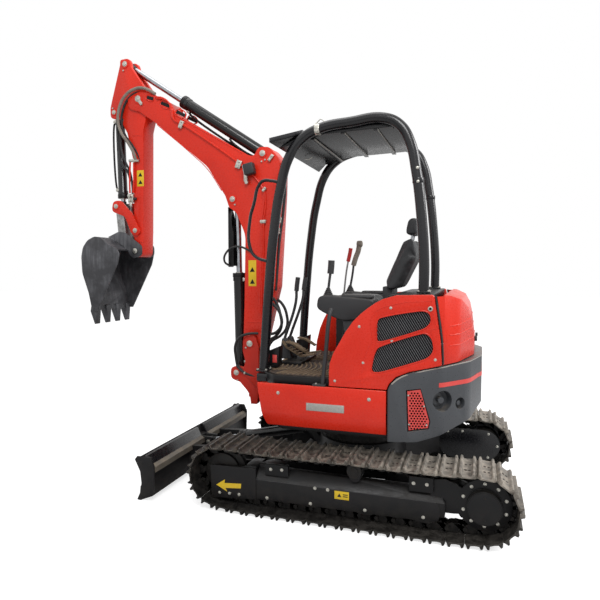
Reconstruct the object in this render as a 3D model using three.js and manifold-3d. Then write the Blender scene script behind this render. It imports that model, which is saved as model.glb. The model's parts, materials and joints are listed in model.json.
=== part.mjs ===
// Mini excavator with a two-post canopy, steel tracks, dozer blade and swing boom.
// Millimetres, +Z up, +X towards the blade, +Y the operator's left.
// All sizes are given from the centre of the tracks; the last lines move the origin to the middle of the base.
import * as THREE from 'three';
import { mergeVertices } from 'three/addons/utils/BufferGeometryUtils.js';
import Module from 'manifold-3d';

const wasm = await Module();
wasm.setup();

// ---------- driving dimensions ----------

const GAP = 0.3; // between pieces that rest on each other
const PIN_GAP = 2.5; // each side of a boss that turns between two lugs
const EYE_GAP = 5.5; // each side of a rod eye, whose pin is left out

const TRACK_OUTER_Y = 780;
const SHOE_WIDTH = 320;
const SHOE_COUNT = 43;
const SHOE_PLATE = 9;
const GROUSER = 20;
const RAIL_HEIGHT = 56;
const RAIL_WIDTH = 16;
const RAIL_OFFSET_Y = 34;
const WHEEL_Z = 226; // sprocket and idler centres
const SPROCKET_X = -860;
const IDLER_X = 806;
const TRACK_RADIUS = 186; // to the inner face of the shoe plates
const CARRIER_X = -100;
const TRACK_Y = TRACK_OUTER_Y - SHOE_WIDTH / 2;

const SLEW_RING_Z = [380, 470];
const DECK_Z = [500, 560];
const FLOOR_TOP = 880;
const SKIRT_Y = 600;

const SWING_X = 700;
const FOOT = [842, 1017];
const BOOM_RAM_BASE = [961, 786];
const BOOM_RAM_EYE = [989, 2113];
const ARM_RAM_BASE = [742, 2441];
const ELBOW = [1812, 2940];
const ARM_RAM_EYE = [1941, 3232];
const BUCKET_RAM_BASE = [2052, 2858];
const ROCKER_TOP = [2030, 2094];
const ROCKER_PIVOT = [1852, 1894];
const LINK_PIN = [1997, 1844];
const BUCKET_PIN = [1855, 1728];

const BLADE_PIVOT = [560, 215];
const BLADE_RAM_BASE = [420, 384];
const BLADE_RAM_EYE = [1235, 200];

const BOOM_HALF = 92;
const ARM_HALF = 75;
const LUG = 20;
const BUCKET_HALF = 245;

const HOOP_Y = 430;
const HOOP_R = 33;
const FRAME_X = 598.0; // from the centre of the tracks to the middle of the whole machine

// ---------- finishes ----------

const finish = (color, roughness, metalness) => new THREE.MeshStandardMaterial({ color, roughness, metalness });
const RED = finish(0xc8322a, 0.45, 0.0);
const BLACK = finish(0x26262a, 0.6, 0.1);
const GREY = finish(0x56565a, 0.6, 0.1);
const DARK_STEEL = finish(0x3a3634, 0.7, 0.6);
const CHROME = finish(0xc9ccd0, 0.15, 1.0);
const TRIM = finish(0x2b2b2e, 0.8, 0.0);

// ---------- solids ----------

function mergedCopy(geometry) {
  const bare = geometry.clone();
  bare.deleteAttribute('normal');
  bare.deleteAttribute('uv');
  return mergeVertices(bare, 1e-3);
}

function solid(geometry) {
  const merged = mergedCopy(geometry);
  const vertProperties = new Float32Array(merged.attributes.position.array);
  const triVerts = new Uint32Array(merged.index.array);
  return new wasm.Manifold(new wasm.Mesh({ numProp: 3, vertProperties, triVerts }));
}

function geometryOf(body) {
  const mesh = body.getMesh();
  const geometry = new THREE.BufferGeometry();
  geometry.setAttribute('position', new THREE.BufferAttribute(mesh.vertProperties, 3));
  geometry.setIndex(new THREE.BufferAttribute(mesh.triVerts, 1));
  geometry.computeVertexNormals();
  return geometry;
}

const join = (...geometries) => geometryOf(geometries.map(solid).reduce((whole, next) => whole.add(next)));

function cut(geometry, ...tools) {
  return geometryOf(tools.map(solid).reduce((whole, tool) => whole.subtract(tool), solid(geometry)));
}

// The same piece on the other side of the machine, with its faces turned the right way round again.
function mirrorY(geometry) {
  const flipped = mergedCopy(geometry).scale(1, -1, 1);
  const index = flipped.index;
  for (let i = 0; i < index.count; i += 3) {
    const first = index.getX(i);
    index.setX(i, index.getX(i + 1));
    index.setX(i + 1, first);
  }
  return flipped;
}

// A closed outline. Each point is [a, b] or [a, b, radius], and a radius rounds that corner.
function outline(points, steps = 4) {
  const shape = new THREE.Shape();
  points.forEach(([a, b, radius = 0], i) => {
    const here = new THREE.Vector2(a, b);
    const before = new THREE.Vector2(...points.at(i - 1).slice(0, 2)).sub(here);
    const after = new THREE.Vector2(...points[(i + 1) % points.length].slice(0, 2)).sub(here);
    if (!radius) {
      i ? shape.lineTo(a, b) : shape.moveTo(a, b);
      return;
    }
    const half = Math.acos(before.dot(after) / before.length() / after.length()) / 2;
    const reach = Math.min(radius / Math.tan(half), before.length() * 0.49, after.length() * 0.49);
    const start = here.clone().addScaledVector(before.normalize(), reach);
    const end = here.clone().addScaledVector(after.normalize(), reach);
    i ? shape.lineTo(start.x, start.y) : shape.moveTo(start.x, start.y);
    for (let k = 1; k <= steps; k += 1) {
      const t = k / steps;
      const u = 1 - t;
      shape.lineTo(u * u * start.x + 2 * u * t * a + t * t * end.x, u * u * start.y + 2 * u * t * b + t * t * end.y);
    }
  });
  return shape;
}

const disc = ([a, b], radius, sides = 20) =>
  new THREE.Shape(
    Array.from({ length: sides }, (_, i) => {
      const turn = (2 * Math.PI * i) / sides;
      return new THREE.Vector2(a + radius * Math.cos(turn), b + radius * Math.sin(turn));
    }),
  );

const extrude = (shape, depth) => new THREE.ExtrudeGeometry(shape, { depth, bevelEnabled: false, curveSegments: 8 });

// Points of a plan on the other side of the machine, in the order that carries the outline on round.
const mirrorPoints = (points) => points.map(([x, y, radius = 0]) => [x, -y, radius]).reverse();

// A shape drawn in side view (x, z), from y0 to y1.
function sidePlate(shape, y0, y1) {
  return extrude(shape, y1 - y0).rotateX(Math.PI / 2).translate(0, y1, 0);
}

// A shape drawn in plan (x, y), from z0 to z1.
function planPlate(shape, z0, z1) {
  return extrude(shape, z1 - z0).translate(0, 0, z0);
}

// A shape drawn from the front (y, z), from x0 to x1.
function frontPlate(shape, x0, x1) {
  const turn = new THREE.Matrix4().makeBasis(
    new THREE.Vector3(0, 1, 0),
    new THREE.Vector3(0, 0, 1),
    new THREE.Vector3(1, 0, 0),
  );
  return extrude(shape, x1 - x0).applyMatrix4(turn).translate(x0, 0, 0);
}

const block = (x0, x1, y0, y1, z0, z1) =>
  new THREE.BoxGeometry(x1 - x0, y1 - y0, z1 - z0).translate((x0 + x1) / 2, (y0 + y1) / 2, (z0 + z1) / 2);

const drum = (centre, radius, y0, y1, sides = 20) => sidePlate(disc(centre, radius, sides), y0, y1);

function rod(from, to, radius, sides = 14) {
  const a = new THREE.Vector3(...from);
  const b = new THREE.Vector3(...to);
  const length = a.distanceTo(b);
  const turn = new THREE.Quaternion().setFromUnitVectors(new THREE.Vector3(0, 1, 0), b.clone().sub(a).normalize());
  return new THREE.CylinderGeometry(radius, radius, length, sides)
    .applyQuaternion(turn)
    .translate(...a.clone().add(b).multiplyScalar(0.5).toArray());
}

// A bent tube through points [x, y, z].
function tube(points, radius, steps, sides = 10) {
  const path = new THREE.CatmullRomCurve3(points.map((p) => new THREE.Vector3(...p)), false, 'centripetal');
  return new THREE.ExtrudeGeometry(disc([0, 0], radius, sides), { steps, extrudePath: path, bevelEnabled: false });
}

const pairPlates = (shape, inner, outer) => [sidePlate(shape, inner, outer), sidePlate(shape, -outer, -inner)];
const along = ([ax, az], [bx, bz], distance) => {
  const length = Math.hypot(bx - ax, bz - az);
  return [ax + ((bx - ax) * distance) / length, az + ((bz - az) * distance) / length];
};

// ---------- assembly ----------

const machine = new THREE.Group();

function add(name, geometry, material) {
  const mesh = new THREE.Mesh(geometry, material);
  mesh.name = name;
  machine.add(mesh);
}

// ---------- tracks and undercarriage ----------

function trackPath() {
  const path = new THREE.Path();
  const low = WHEEL_Z - TRACK_RADIUS;
  const high = WHEEL_Z + TRACK_RADIUS;
  const ground = SHOE_PLATE + GROUSER;
  const sag = 22;
  path.moveTo(SPROCKET_X, low);
  path.lineTo(SPROCKET_X + 170, ground);
  path.lineTo(IDLER_X - 170, ground);
  path.lineTo(IDLER_X, low);
  path.absarc(IDLER_X, WHEEL_Z, TRACK_RADIUS, -Math.PI / 2, Math.PI / 2, false);
  path.quadraticCurveTo((IDLER_X + CARRIER_X) / 2, high - sag, CARRIER_X, high - 6);
  path.quadraticCurveTo((SPROCKET_X + CARRIER_X) / 2, high - sag, SPROCKET_X, high);
  path.absarc(SPROCKET_X, WHEEL_Z, TRACK_RADIUS, Math.PI / 2, (3 * Math.PI) / 2, false);
  const points = path.getSpacedPoints(SHOE_COUNT);
  points.pop();
  return points;
}

function trackLoop(yCentre) {
  const pins = trackPath();
  const near = (i) => pins[(i + pins.length) % pins.length];
  const normal = (i) => {
    const chord = near(i + 1).clone().sub(near(i - 1)).normalize();
    return new THREE.Vector2(chord.y, -chord.x);
  };
  const profile = [
    [0.03, SHOE_PLATE],
    [0.08, SHOE_PLATE + GROUSER],
    [0.2, SHOE_PLATE + GROUSER],
    [0.3, SHOE_PLATE],
    [0.7, SHOE_PLATE],
    [0.8, SHOE_PLATE + GROUSER],
    [0.92, SHOE_PLATE + GROUSER],
    [0.97, SHOE_PLATE],
  ];
  const outer = pins.flatMap((start, i) => {
    const run = near(i + 1).clone().sub(start);
    const out = new THREE.Vector2(run.y, -run.x).normalize();
    return profile.map(([u, h]) => start.clone().addScaledVector(run, u).addScaledVector(out, h));
  });
  const shoes = new THREE.Shape(outer);
  shoes.holes.push(new THREE.Path(pins));
  const rails = new THREE.Shape(pins.map((p, i) => p.clone().addScaledVector(normal(i), SHOE_PLATE / 2)));
  rails.holes.push(new THREE.Path(pins.map((p, i) => p.clone().addScaledVector(normal(i), -RAIL_HEIGHT))));
  const half = SHOE_WIDTH / 2;
  const railAt = (y) => sidePlate(rails, y - RAIL_WIDTH / 2, y + RAIL_WIDTH / 2);
  return join(
    sidePlate(shoes, yCentre - half, yCentre + half),
    railAt(yCentre - RAIL_OFFSET_Y),
    railAt(yCentre + RAIL_OFFSET_Y),
  );
}

const RAIL_TOP = GROUSER + SHOE_PLATE + RAIL_HEIGHT;
const ROLLER_R = 50;
const ROLLER_XS = [-510, -175, 160, 495];
const FRAME_HALF = 78;

function trackFrame() {
  const beam = outline([
    [-640, 130],
    [-640, 215],
    [-600, 270],
    [480, 285],
    [520, 300],
    [640, 300, 30],
    [640, 200],
    [560, 110, 30],
    [520, 128],
  ]);
  const guard = outline([
    [549, 86],
    [549, 288],
    [874, 280],
    [866, 62],
  ]);
  // The top of the beam slopes down to its sides.
  const edge = TRACK_Y + FRAME_HALF + 1;
  const chamferPoints = [
    [edge, 212],
    [edge, 320],
    [TRACK_Y + 20, 320],
    [TRACK_Y + 20, 281],
  ];
  const chamfer = outline(chamferPoints);
  const inwardChamfer = outline(chamferPoints.map(([y, z]) => [2 * TRACK_Y - y, z]).reverse());
  const rollers = ROLLER_XS.map((x) =>
    drum([x, RAIL_TOP + ROLLER_R + GAP], ROLLER_R, TRACK_Y - FRAME_HALF + 6, TRACK_Y + FRAME_HALF - 6, 16),
  );
  const carrier = [CARRIER_X, WHEEL_Z + TRACK_RADIUS - 6 - RAIL_HEIGHT - 42];
  return join(
    cut(
      sidePlate(beam, TRACK_Y - FRAME_HALF, TRACK_Y + FRAME_HALF),
      frontPlate(chamfer, -700, 549),
      frontPlate(inwardChamfer, -700, 549),
    ),
    sidePlate(guard, TRACK_Y + FRAME_HALF + GAP, TRACK_Y + FRAME_HALF + 10),
    block(549, 635, TRACK_Y + FRAME_HALF - 8, TRACK_Y + FRAME_HALF + 5, 120, 284),
    ...rollers,
    drum(carrier, 38, TRACK_Y - 50, TRACK_Y + 62, 16),
    block(CARRIER_X - 22, CARRIER_X + 22, TRACK_Y - 40, TRACK_Y + 40, 270, carrier[1]),
  );
}

function sprocket() {
  const teeth = 10;
  const ring = Array.from({ length: teeth * 4 }, (_, i) => {
    const turn = (2 * Math.PI * (i - 0.5)) / (teeth * 4);
    const radius = i % 4 < 2 ? 170 : 124;
    return new THREE.Vector2(SPROCKET_X + radius * Math.cos(turn), WHEEL_Z + radius * Math.sin(turn));
  });
  const centre = [SPROCKET_X, WHEEL_Z];
  return join(
    sidePlate(new THREE.Shape(ring), TRACK_Y - 13, TRACK_Y + 13),
    drum(centre, 98, TRACK_Y - 10, TRACK_Y + 112, 28),
    drum(centre, 152, TRACK_Y + 44, TRACK_Y + 56, 28),
    drum(centre, 115, TRACK_Y - 150, TRACK_Y - 11, 24),
    sidePlate(
      outline([
        [SPROCKET_X, WHEEL_Z - 70],
        [-700, WHEEL_Z - 60],
        [-640 - GAP, WHEEL_Z - 70],
        [-640 - GAP, WHEEL_Z + 40],
        [-700, WHEEL_Z + 60],
        [SPROCKET_X, WHEEL_Z + 70],
      ]),
      TRACK_Y - 140,
      TRACK_Y - 50,
    ),
  );
}

function idler() {
  const centre = [IDLER_X, WHEEL_Z];
  return join(
    drum(centre, 124, TRACK_Y - 44, TRACK_Y + 44, 28),
    drum(centre, 165, TRACK_Y - 20, TRACK_Y + 20, 28),
    drum(centre, 55, TRACK_Y - 78, TRACK_Y + 78, 16),
    ...[-78, 60].map((y) =>
      sidePlate(
        outline([
          [640 + GAP, WHEEL_Z - 40],
          [IDLER_X + 60, WHEEL_Z - 50, 40],
          [IDLER_X + 60, WHEEL_Z + 50, 40],
          [640 + GAP, WHEEL_Z + 60],
        ]),
        TRACK_Y + y,
        TRACK_Y + y + 18,
      ),
    ),
  );
}

for (const [name, make, material] of [
  ['track', () => trackLoop(TRACK_Y), DARK_STEEL],
  ['track_frame', trackFrame, BLACK],
  ['sprocket', sprocket, BLACK],
  ['idler', idler, BLACK],
]) {
  const geometry = make();
  add(`left_${name}`, geometry, material);
  add(`right_${name}`, mirrorY(geometry), material);
}

function carBody() {
  const inner = TRACK_Y - FRAME_HALF - GAP;
  const leg = (side) => [
    planPlate(
      outline([
        [-430, side * inner],
        [-560, side * inner],
        [-560, side * (inner - 60)],
        [-260, side * 150],
        [-120, side * 150],
      ]),
      150,
      270,
    ),
    planPlate(
      outline([
        [430, side * inner],
        [120, side * 150],
        [260, side * 150],
        [560, side * (inner - 60)],
        [560, side * inner],
      ]),
      150,
      270,
    ),
  ];
  const bladeLugs = [-1, 1].flatMap((side) =>
    [200, 262].map((y) =>
      sidePlate(
        outline([
          [380, 160],
          [BLADE_PIVOT[0] + 45, BLADE_PIVOT[1] - 45, 40],
          [BLADE_PIVOT[0] + 45, BLADE_PIVOT[1] + 45, 40],
          [380, 300],
        ]),
        side * y - 10,
        side * y + 10,
      ),
    ),
  );
  const ramLugs = [-1, 1].map((side) =>
    sidePlate(
      outline([
        [280, 250],
        [BLADE_RAM_BASE[0] - 20, BLADE_RAM_BASE[1] - 62],
        [BLADE_RAM_BASE[0] + 30, BLADE_RAM_BASE[1] - 24, 20],
        [BLADE_RAM_BASE[0] + 30, BLADE_RAM_BASE[1] + 30, 30],
        [280, 370],
      ]),
      side * (24 + PIN_GAP + 9) - 9,
      side * (24 + PIN_GAP + 9) + 9,
    ),
  );
  const turret = new THREE.CylinderGeometry(300, 330, SLEW_RING_Z[0] - 260, 28)
    .rotateX(Math.PI / 2)
    .translate(0, 0, (SLEW_RING_Z[0] + 260) / 2);
  return join(
    block(-300, 400, -300, 300, 160, 290),
    turret,
    ...leg(1),
    ...leg(-1),
    ...bladeLugs,
    ...ramLugs,
  );
}
add('car_body', carBody(), BLACK);

// ---------- blade ----------

function blade() {
  const moldboard = outline([
    [1277, 40],
    [1375, 0],
    [1398, 2],
    [1368, 60],
    [1359, 120],
    [1368, 200],
    [1411, 282],
    [1352, 316],
    [1338, 250],
    [1300, 245],
    [1290, 120],
  ]);
  const arm = outline([
    [1292, 225],
    [1292, 90],
    [1180, 110],
    [620, BLADE_PIVOT[1] - 50],
    [515, BLADE_PIVOT[1] - 50, 45],
    [515, BLADE_PIVOT[1] + 50, 45],
    [620, BLADE_PIVOT[1] + 48],
  ]);
  const ramLug = outline([
    [1300, 130],
    [1215, 200, 20],
    [BLADE_RAM_EYE[0] - 38, BLADE_RAM_EYE[1] + 40, 30],
    [BLADE_RAM_EYE[0] + 30, BLADE_RAM_EYE[1] + 40, 30],
    [1300, 240],
  ]);
  const armHalf = 21 - PIN_GAP;
  return join(
    sidePlate(moldboard, -TRACK_OUTER_Y, TRACK_OUTER_Y),
    sidePlate(arm, 231 - armHalf, 231 + armHalf),
    sidePlate(arm, -231 - armHalf, -231 + armHalf),
    ...pairPlates(ramLug, 24 + EYE_GAP, 24 + EYE_GAP + LUG),
  );
}
add('blade', blade(), BLACK);

// ---------- hydraulic rams ----------

// A ram in side view: the barrel swings on its base pin, and the rod slides out of it.
// retract is how far the rod draws back into the barrel from here at its shortest.
function ram({ name, base, eye, radius, rodRadius, barrelLength, retract, baseHalf, eyeHalf, guard = 0 }) {
  const at = (distance) => {
    const [x, z] = along(base, eye, distance);
    return [x, 0, z];
  };
  const eyeRadius = radius * 0.9;
  const neck = eyeRadius + 14;
  const length = Math.hypot(eye[0] - base[0], eye[1] - base[1]);
  const barrel = cut(
    join(
      drum(base, eyeRadius, -baseHalf, baseHalf, 16),
      rod(at(eyeRadius * 0.4), at(neck + 2), Math.min(eyeRadius * 0.8, baseHalf - 3), 12),
      rod(at(neck), at(barrelLength), radius, 16),
      rod(at(barrelLength - 55), at(barrelLength), radius + 5, 16),
    ),
    rod(at(neck + 8), at(barrelLength + 10), rodRadius + 1.5, 12),
  );
  const pieces = [
    rod(at(neck + 20 + retract), at(length - 10), rodRadius, 12),
    drum(eye, eyeRadius * 0.85, -eyeHalf, eyeHalf, 16),
  ];
  if (guard) {
    const face = eye[0] + radius + 12;
    pieces.push(
      block(eye[0], face + 2, -14, 14, eye[1] - 80, eye[1] - 60),
      block(face, face + 6, -45, 45, eye[1] - guard, eye[1] - 50),
    );
  }
  add(`${name}_barrel`, barrel, BLACK);
  add(`${name}_rod`, join(...pieces), guard ? BLACK : CHROME);
}

ram({
  name: 'blade_ram',
  base: BLADE_RAM_BASE,
  eye: BLADE_RAM_EYE,
  radius: 38,
  rodRadius: 19,
  barrelLength: 560,
  retract: 78,
  baseHalf: 24,
  eyeHalf: 24,
});

// ---------- upper frame, floor and covers ----------

function upperFrame() {
  const halfDeck = [
    [-590, 190],
    [-505, 372],
    [-280, 428],
    [-276, 562],
    [420, 562, 20],
    [560, 420],
    [575, 110],
  ];
  const deck = outline([...halfDeck, ...halfDeck.map(([x, y]) => [x, -y]).reverse()]);
  const swingLug = outline([
    [420, -260],
    [560, -112],
    [SWING_X - 85, -80],
    [SWING_X, -72, 40],
    [SWING_X + 72, -72, 60],
    [SWING_X + 72, 72, 60],
    [SWING_X, 72, 40],
    [SWING_X - 85, 80],
    [560, 112],
    [420, 260],
  ]);
  const webTop = FLOOR_TOP - 70;
  const neck = new THREE.CylinderGeometry(260, 260, 60, 24).rotateX(Math.PI / 2).translate(0, 0, 505);
  return join(
    planPlate(deck, DECK_Z[0] + 25, DECK_Z[1]),
    neck,
    ...[-170, 170].map((y) => block(-190, 556, y - 8, y + 8, 550, webTop)),
    block(-196, -180, -560, 560, 550, webTop),
    block(548, 564, -400, 400, 550, webTop),
    planPlate(swingLug, 550, 596),
    planPlate(swingLug, 764, 800),
  );
}
add('slew_ring', planPlate(disc([0, 0], 270, 32), SLEW_RING_Z[0] + GAP, SLEW_RING_Z[1]), DARK_STEEL);
add('upper_frame', upperFrame(), BLACK);

function floorPlate() {
  const plan = outline([
    [-150, -560],
    [480, -560, 60],
    [600, -430, 60],
    [600, 430, 60],
    [480, 560, 60],
    [-150, 560],
  ]);
  return planPlate(plan, FLOOR_TOP - 70 + GAP, FLOOR_TOP);
}
add('floor', floorPlate(), TRIM);

function skirt() {
  const section = outline([
    [SKIRT_Y + 8, 833],
    [SKIRT_Y, 833],
    [SKIRT_Y - 12, 833],
    [SKIRT_Y - 12, 650],
    [SKIRT_Y - 34, 552],
    [SKIRT_Y - 14, 552],
    [SKIRT_Y + 8, 646],
  ]);
  const front = outline([
    [500, 540],
    [522, 563],
    [546, 620],
    [578, 804],
    [578, 840],
    [640, 840],
    [640, 540],
  ]);
  return cut(frontPlate(section, -276, 600), sidePlate(front, SKIRT_Y - 60, SKIRT_Y + 40));
}
const leftSkirt = skirt();
add('left_skirt', leftSkirt, RED);
add('right_skirt', mirrorY(leftSkirt), RED);

function counterweight() {
  const half = [
    [-284, 440],
    [-284, 612, 14],
    [-430, 616, 60],
    [-600, 575, 120],
    [-760, 420, 160],
    [-832, 190, 160],
  ];
  const innerHalf = [
    [-622, 200],
    [-520, 400],
  ];
  const plan = outline(
    [...half, ...mirrorPoints(half), ...mirrorPoints([...innerHalf].reverse()).reverse(), ...innerHalf],
    6,
  );
  const above = outline([
    [-200, 836],
    [-284, 836],
    [-300, 872],
    [-338, 916],
    [-414, 951],
    [-504, 975],
    [-593, 994],
    [-700, 1010],
    [-860, 1030],
    [-860, 1200],
    [-200, 1200],
  ]);
  const below = outline([
    [-200, 518],
    [-284, 520],
    [-468, 535],
    [-599, 579],
    [-764, 653],
    [-860, 745],
    [-860, 400],
    [-200, 400],
  ]);
  return cut(planPlate(plan, 450, 1100), sidePlate(above, -700, 700), sidePlate(below, -700, 700));
}
add('counterweight', counterweight(), GREY);

const COVER_TAIL = [
  [-250, 1398],
  [-330, 1422],
  [-555, 1428, 20],
  [-582, 1240],
  [-596, 1148],
  [-604, 1007],
  [-504, 981],
  [-414, 957],
  [-334, 921],
  [-292, 876],
  [-278, 839],
];

// The cover's front edge leans back in one long curve.
function sideCover(frontEdge) {
  return sidePlate(outline([...frontEdge, ...COVER_TAIL]), SKIRT_Y - 40, SKIRT_Y);
}
const leftCover = sideCover([
  [89, 838],
  [90, 929],
  [84, 988],
  [61, 1052],
  [30, 1105],
  [-16, 1188],
  [-65, 1256],
  [-111, 1303],
  [-158, 1341],
  [-205, 1374],
]);
const rightCover = sideCover([
  [521, 838],
  [521, 890],
  [512, 969],
  [486, 1074],
  [450, 1161],
  [406, 1240],
  [340, 1310],
  [240, 1360],
  [60, 1390],
]);
add('left_side_cover', leftCover, RED);
add('right_side_cover', mirrorY(rightCover), RED);

function engineCover() {
  const side = outline([
    [-150, FLOOR_TOP + GAP],
    [-150, 1220, 40],
    [-270, 1420, 40],
    [-545, 1430],
    [-545, 1390],
    [-290, 1380, 30],
    [-190, 1200, 30],
    [-190, FLOOR_TOP + GAP],
  ]);
  return sidePlate(side, -555, 555);
}
add('seat_bulkhead', engineCover(), BLACK);

add('engine', block(-505, -205, -330, 330, 600, 1150), DARK_STEEL);

// ---------- rear hood, hinged along its top edge ----------

const HOOD_HINGE = [-566, 1415];
function rearHood() {
  const shell = (inset, z0, z1) =>
    planPlate(
      outline(
        [
          [-610 + inset, 556 - inset],
          [-700 + inset, 470 - inset, 120],
          [-782 + inset, 200, 160],
          [-782 + inset, -200, 160],
          [-700 + inset, -470 + inset, 120],
          [-610 + inset, -556 + inset],
        ],
        6,
      ),
      z0,
      z1,
    );
  const above = outline([
    [-540, 1428],
    [-640, 1424],
    [-708, 1396],
    [-745, 1340],
    [-762, 1260],
    [-782, 1100],
    [-782, 1060],
    [-860, 1060],
    [-860, 1500],
    [-540, 1500],
  ]);
  const below = outline([
    [-540, 1002],
    [-604, 1003],
    [-704, 1018],
    [-860, 1038],
    [-860, 900],
    [-540, 900],
  ]);
  const roomAbove = outline([
    [-540, 1394],
    [-632, 1386],
    [-682, 1364],
    [-708, 1325],
    [-724, 1252],
    [-742, 1060],
    [-860, 1060],
    [-860, 1500],
    [-540, 1500],
  ]);
  const wide = [-700, 700];
  return cut(
    shell(0, 980, 1430),
    cut(shell(38, 900, 1400), sidePlate(roomAbove, ...wide)),
    sidePlate(above, ...wide),
    sidePlate(below, ...wide),
  );
}
add('rear_hood', rearHood(), RED);

// ---------- canopy ----------

function hoop(side) {
  const y = side * HOOP_Y;
  return tube(
    [
      [600, y, FLOOR_TOP + 3],
      [568, y, 1369],
      [523, y, 1846],
      [479, y, 2113],
      [407, y, 2341],
      [316, y, 2446],
      [199, y, 2500],
      [-2, y, 2524],
      [-227, y, 2530],
      [-321, y, 2479],
      [-384, y, 2370],
      [-423, y, 2196],
      [-460, y, 1900],
      [-478, y, 1637],
      [-478, y, 1433],
    ],
    HOOP_R,
    30,
  );
}
add('left_canopy_hoop', hoop(1), BLACK);
add('right_canopy_hoop', hoop(-1), BLACK);

function roof() {
  const panel = outline([
    [-300, 2508],
    [-300, 2484],
    [180, 2470],
    [300, 2440],
    [500, 2398],
    [500, 2425],
    [320, 2482],
    [200, 2508],
  ]);
  const visor = outline([
    [330, 2482],
    [330, 2510],
    [500, 2428],
    [500, 2398],
  ]);
  const half = HOOP_Y - HOOP_R - GAP - 2;
  const flank = [
    [300, half - 28],
    [500, 577],
    [520, 600],
    [520, 700],
    [300, 700],
  ];
  const flared = cut(
    sidePlate(visor, -577, 577),
    planPlate(outline(flank), 2300, 2600),
    planPlate(outline(mirrorPoints(flank)), 2300, 2600),
  );
  return join(sidePlate(panel, -half, half), flared);
}
add('canopy_roof', roof(), BLACK);

// ---------- seat and controls ----------

function seat() {
  add('seat_cushion', block(-168, 225, -230, 230, 1275, 1395), TRIM);
  const back = outline([
    [-292, 1455],
    [-238, 1410, 20],
    [-170, 1405, 30],
    [-270, 1660],
    [-350, 1900, 30],
    [-412, 1905, 25],
    [-388, 1660],
  ]);
  add('seat_back', sidePlate(back, -200, 200), TRIM);
  add('seat_pedestal', block(-145, 150, -190, 190, FLOOR_TOP + GAP, 1265), BLACK);
}
seat();

function console(side) {
  const y = side * 330;
  return join(
    sidePlate(
      outline([
        [-140, 1180],
        [180, 1180],
        [250, 1300, 30],
        [220, 1400, 40],
        [-140, 1360],
      ]),
      y - 50,
      y + 50,
    ),
    sidePlate(
      outline([
        [-140, FLOOR_TOP + GAP],
        [20, FLOOR_TOP + GAP],
        [60, 1200],
        [-140, 1200],
      ]),
      y - 40,
      y + 40,
    ),
    rod([170, y, 1380], [200, y, 1480], 12, 10),
    rod([198, y, 1460], [225, y, 1600], 24, 12),
  );
}
add('left_console', console(1), TRIM);
add('right_console', console(-1), TRIM);

function travelLevers() {
  return join(
    block(400, 560, -200, 200, FLOOR_TOP + GAP, 930),
    ...[-55, 55].map((y) => tube([[470, y, 920], [440, y, 1100], [420, y * 1.4, 1330], [400, y * 1.6, 1420]], 13, 8, 8)),
  );
}
add('travel_levers', travelLevers(), TRIM);

// ---------- swing post ----------

function swingPost() {
  const foot = outline([
    [770, 1000],
    [800, FOOT[1] + 62, 40],
    [FOOT[0] + 55, FOOT[1] + 62, 50],
    [FOOT[0] + 60, 960, 30],
    [880, 880],
    [900, 800],
    [800, 690],
    [770, 690],
  ]);
  const lower = outline([
    [770, 690],
    [790, 551, 10],
    [841, 551],
    [850, 620],
    [874, 654, 20],
    [932, 715, 20],
    [BOOM_RAM_BASE[0] + 45, BOOM_RAM_BASE[1] - 50, 40],
    [BOOM_RAM_BASE[0] + 50, BOOM_RAM_BASE[1] + 50, 45],
    [BOOM_RAM_BASE[0] - 60, BOOM_RAM_BASE[1] + 40, 20],
    [860, 830],
    [780, 830],
  ]);
  const hub = new THREE.CylinderGeometry(66, 66, 162, 20).rotateX(Math.PI / 2).translate(SWING_X, 0, 680);
  const boomInner = BOOM_HALF + PIN_GAP;
  return join(
    hub,
    block(720, 860, -60, 60, 604, 756),
    block(785, 860, -boomInner - 5, boomInner + 5, 604, 730),
    ...pairPlates(foot, boomInner, boomInner + 24),
    ...pairPlates(lower, 52 + PIN_GAP, boomInner + 10),
  );
}
add('swing_post', swingPost(), RED);

// ---------- boom ----------

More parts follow.
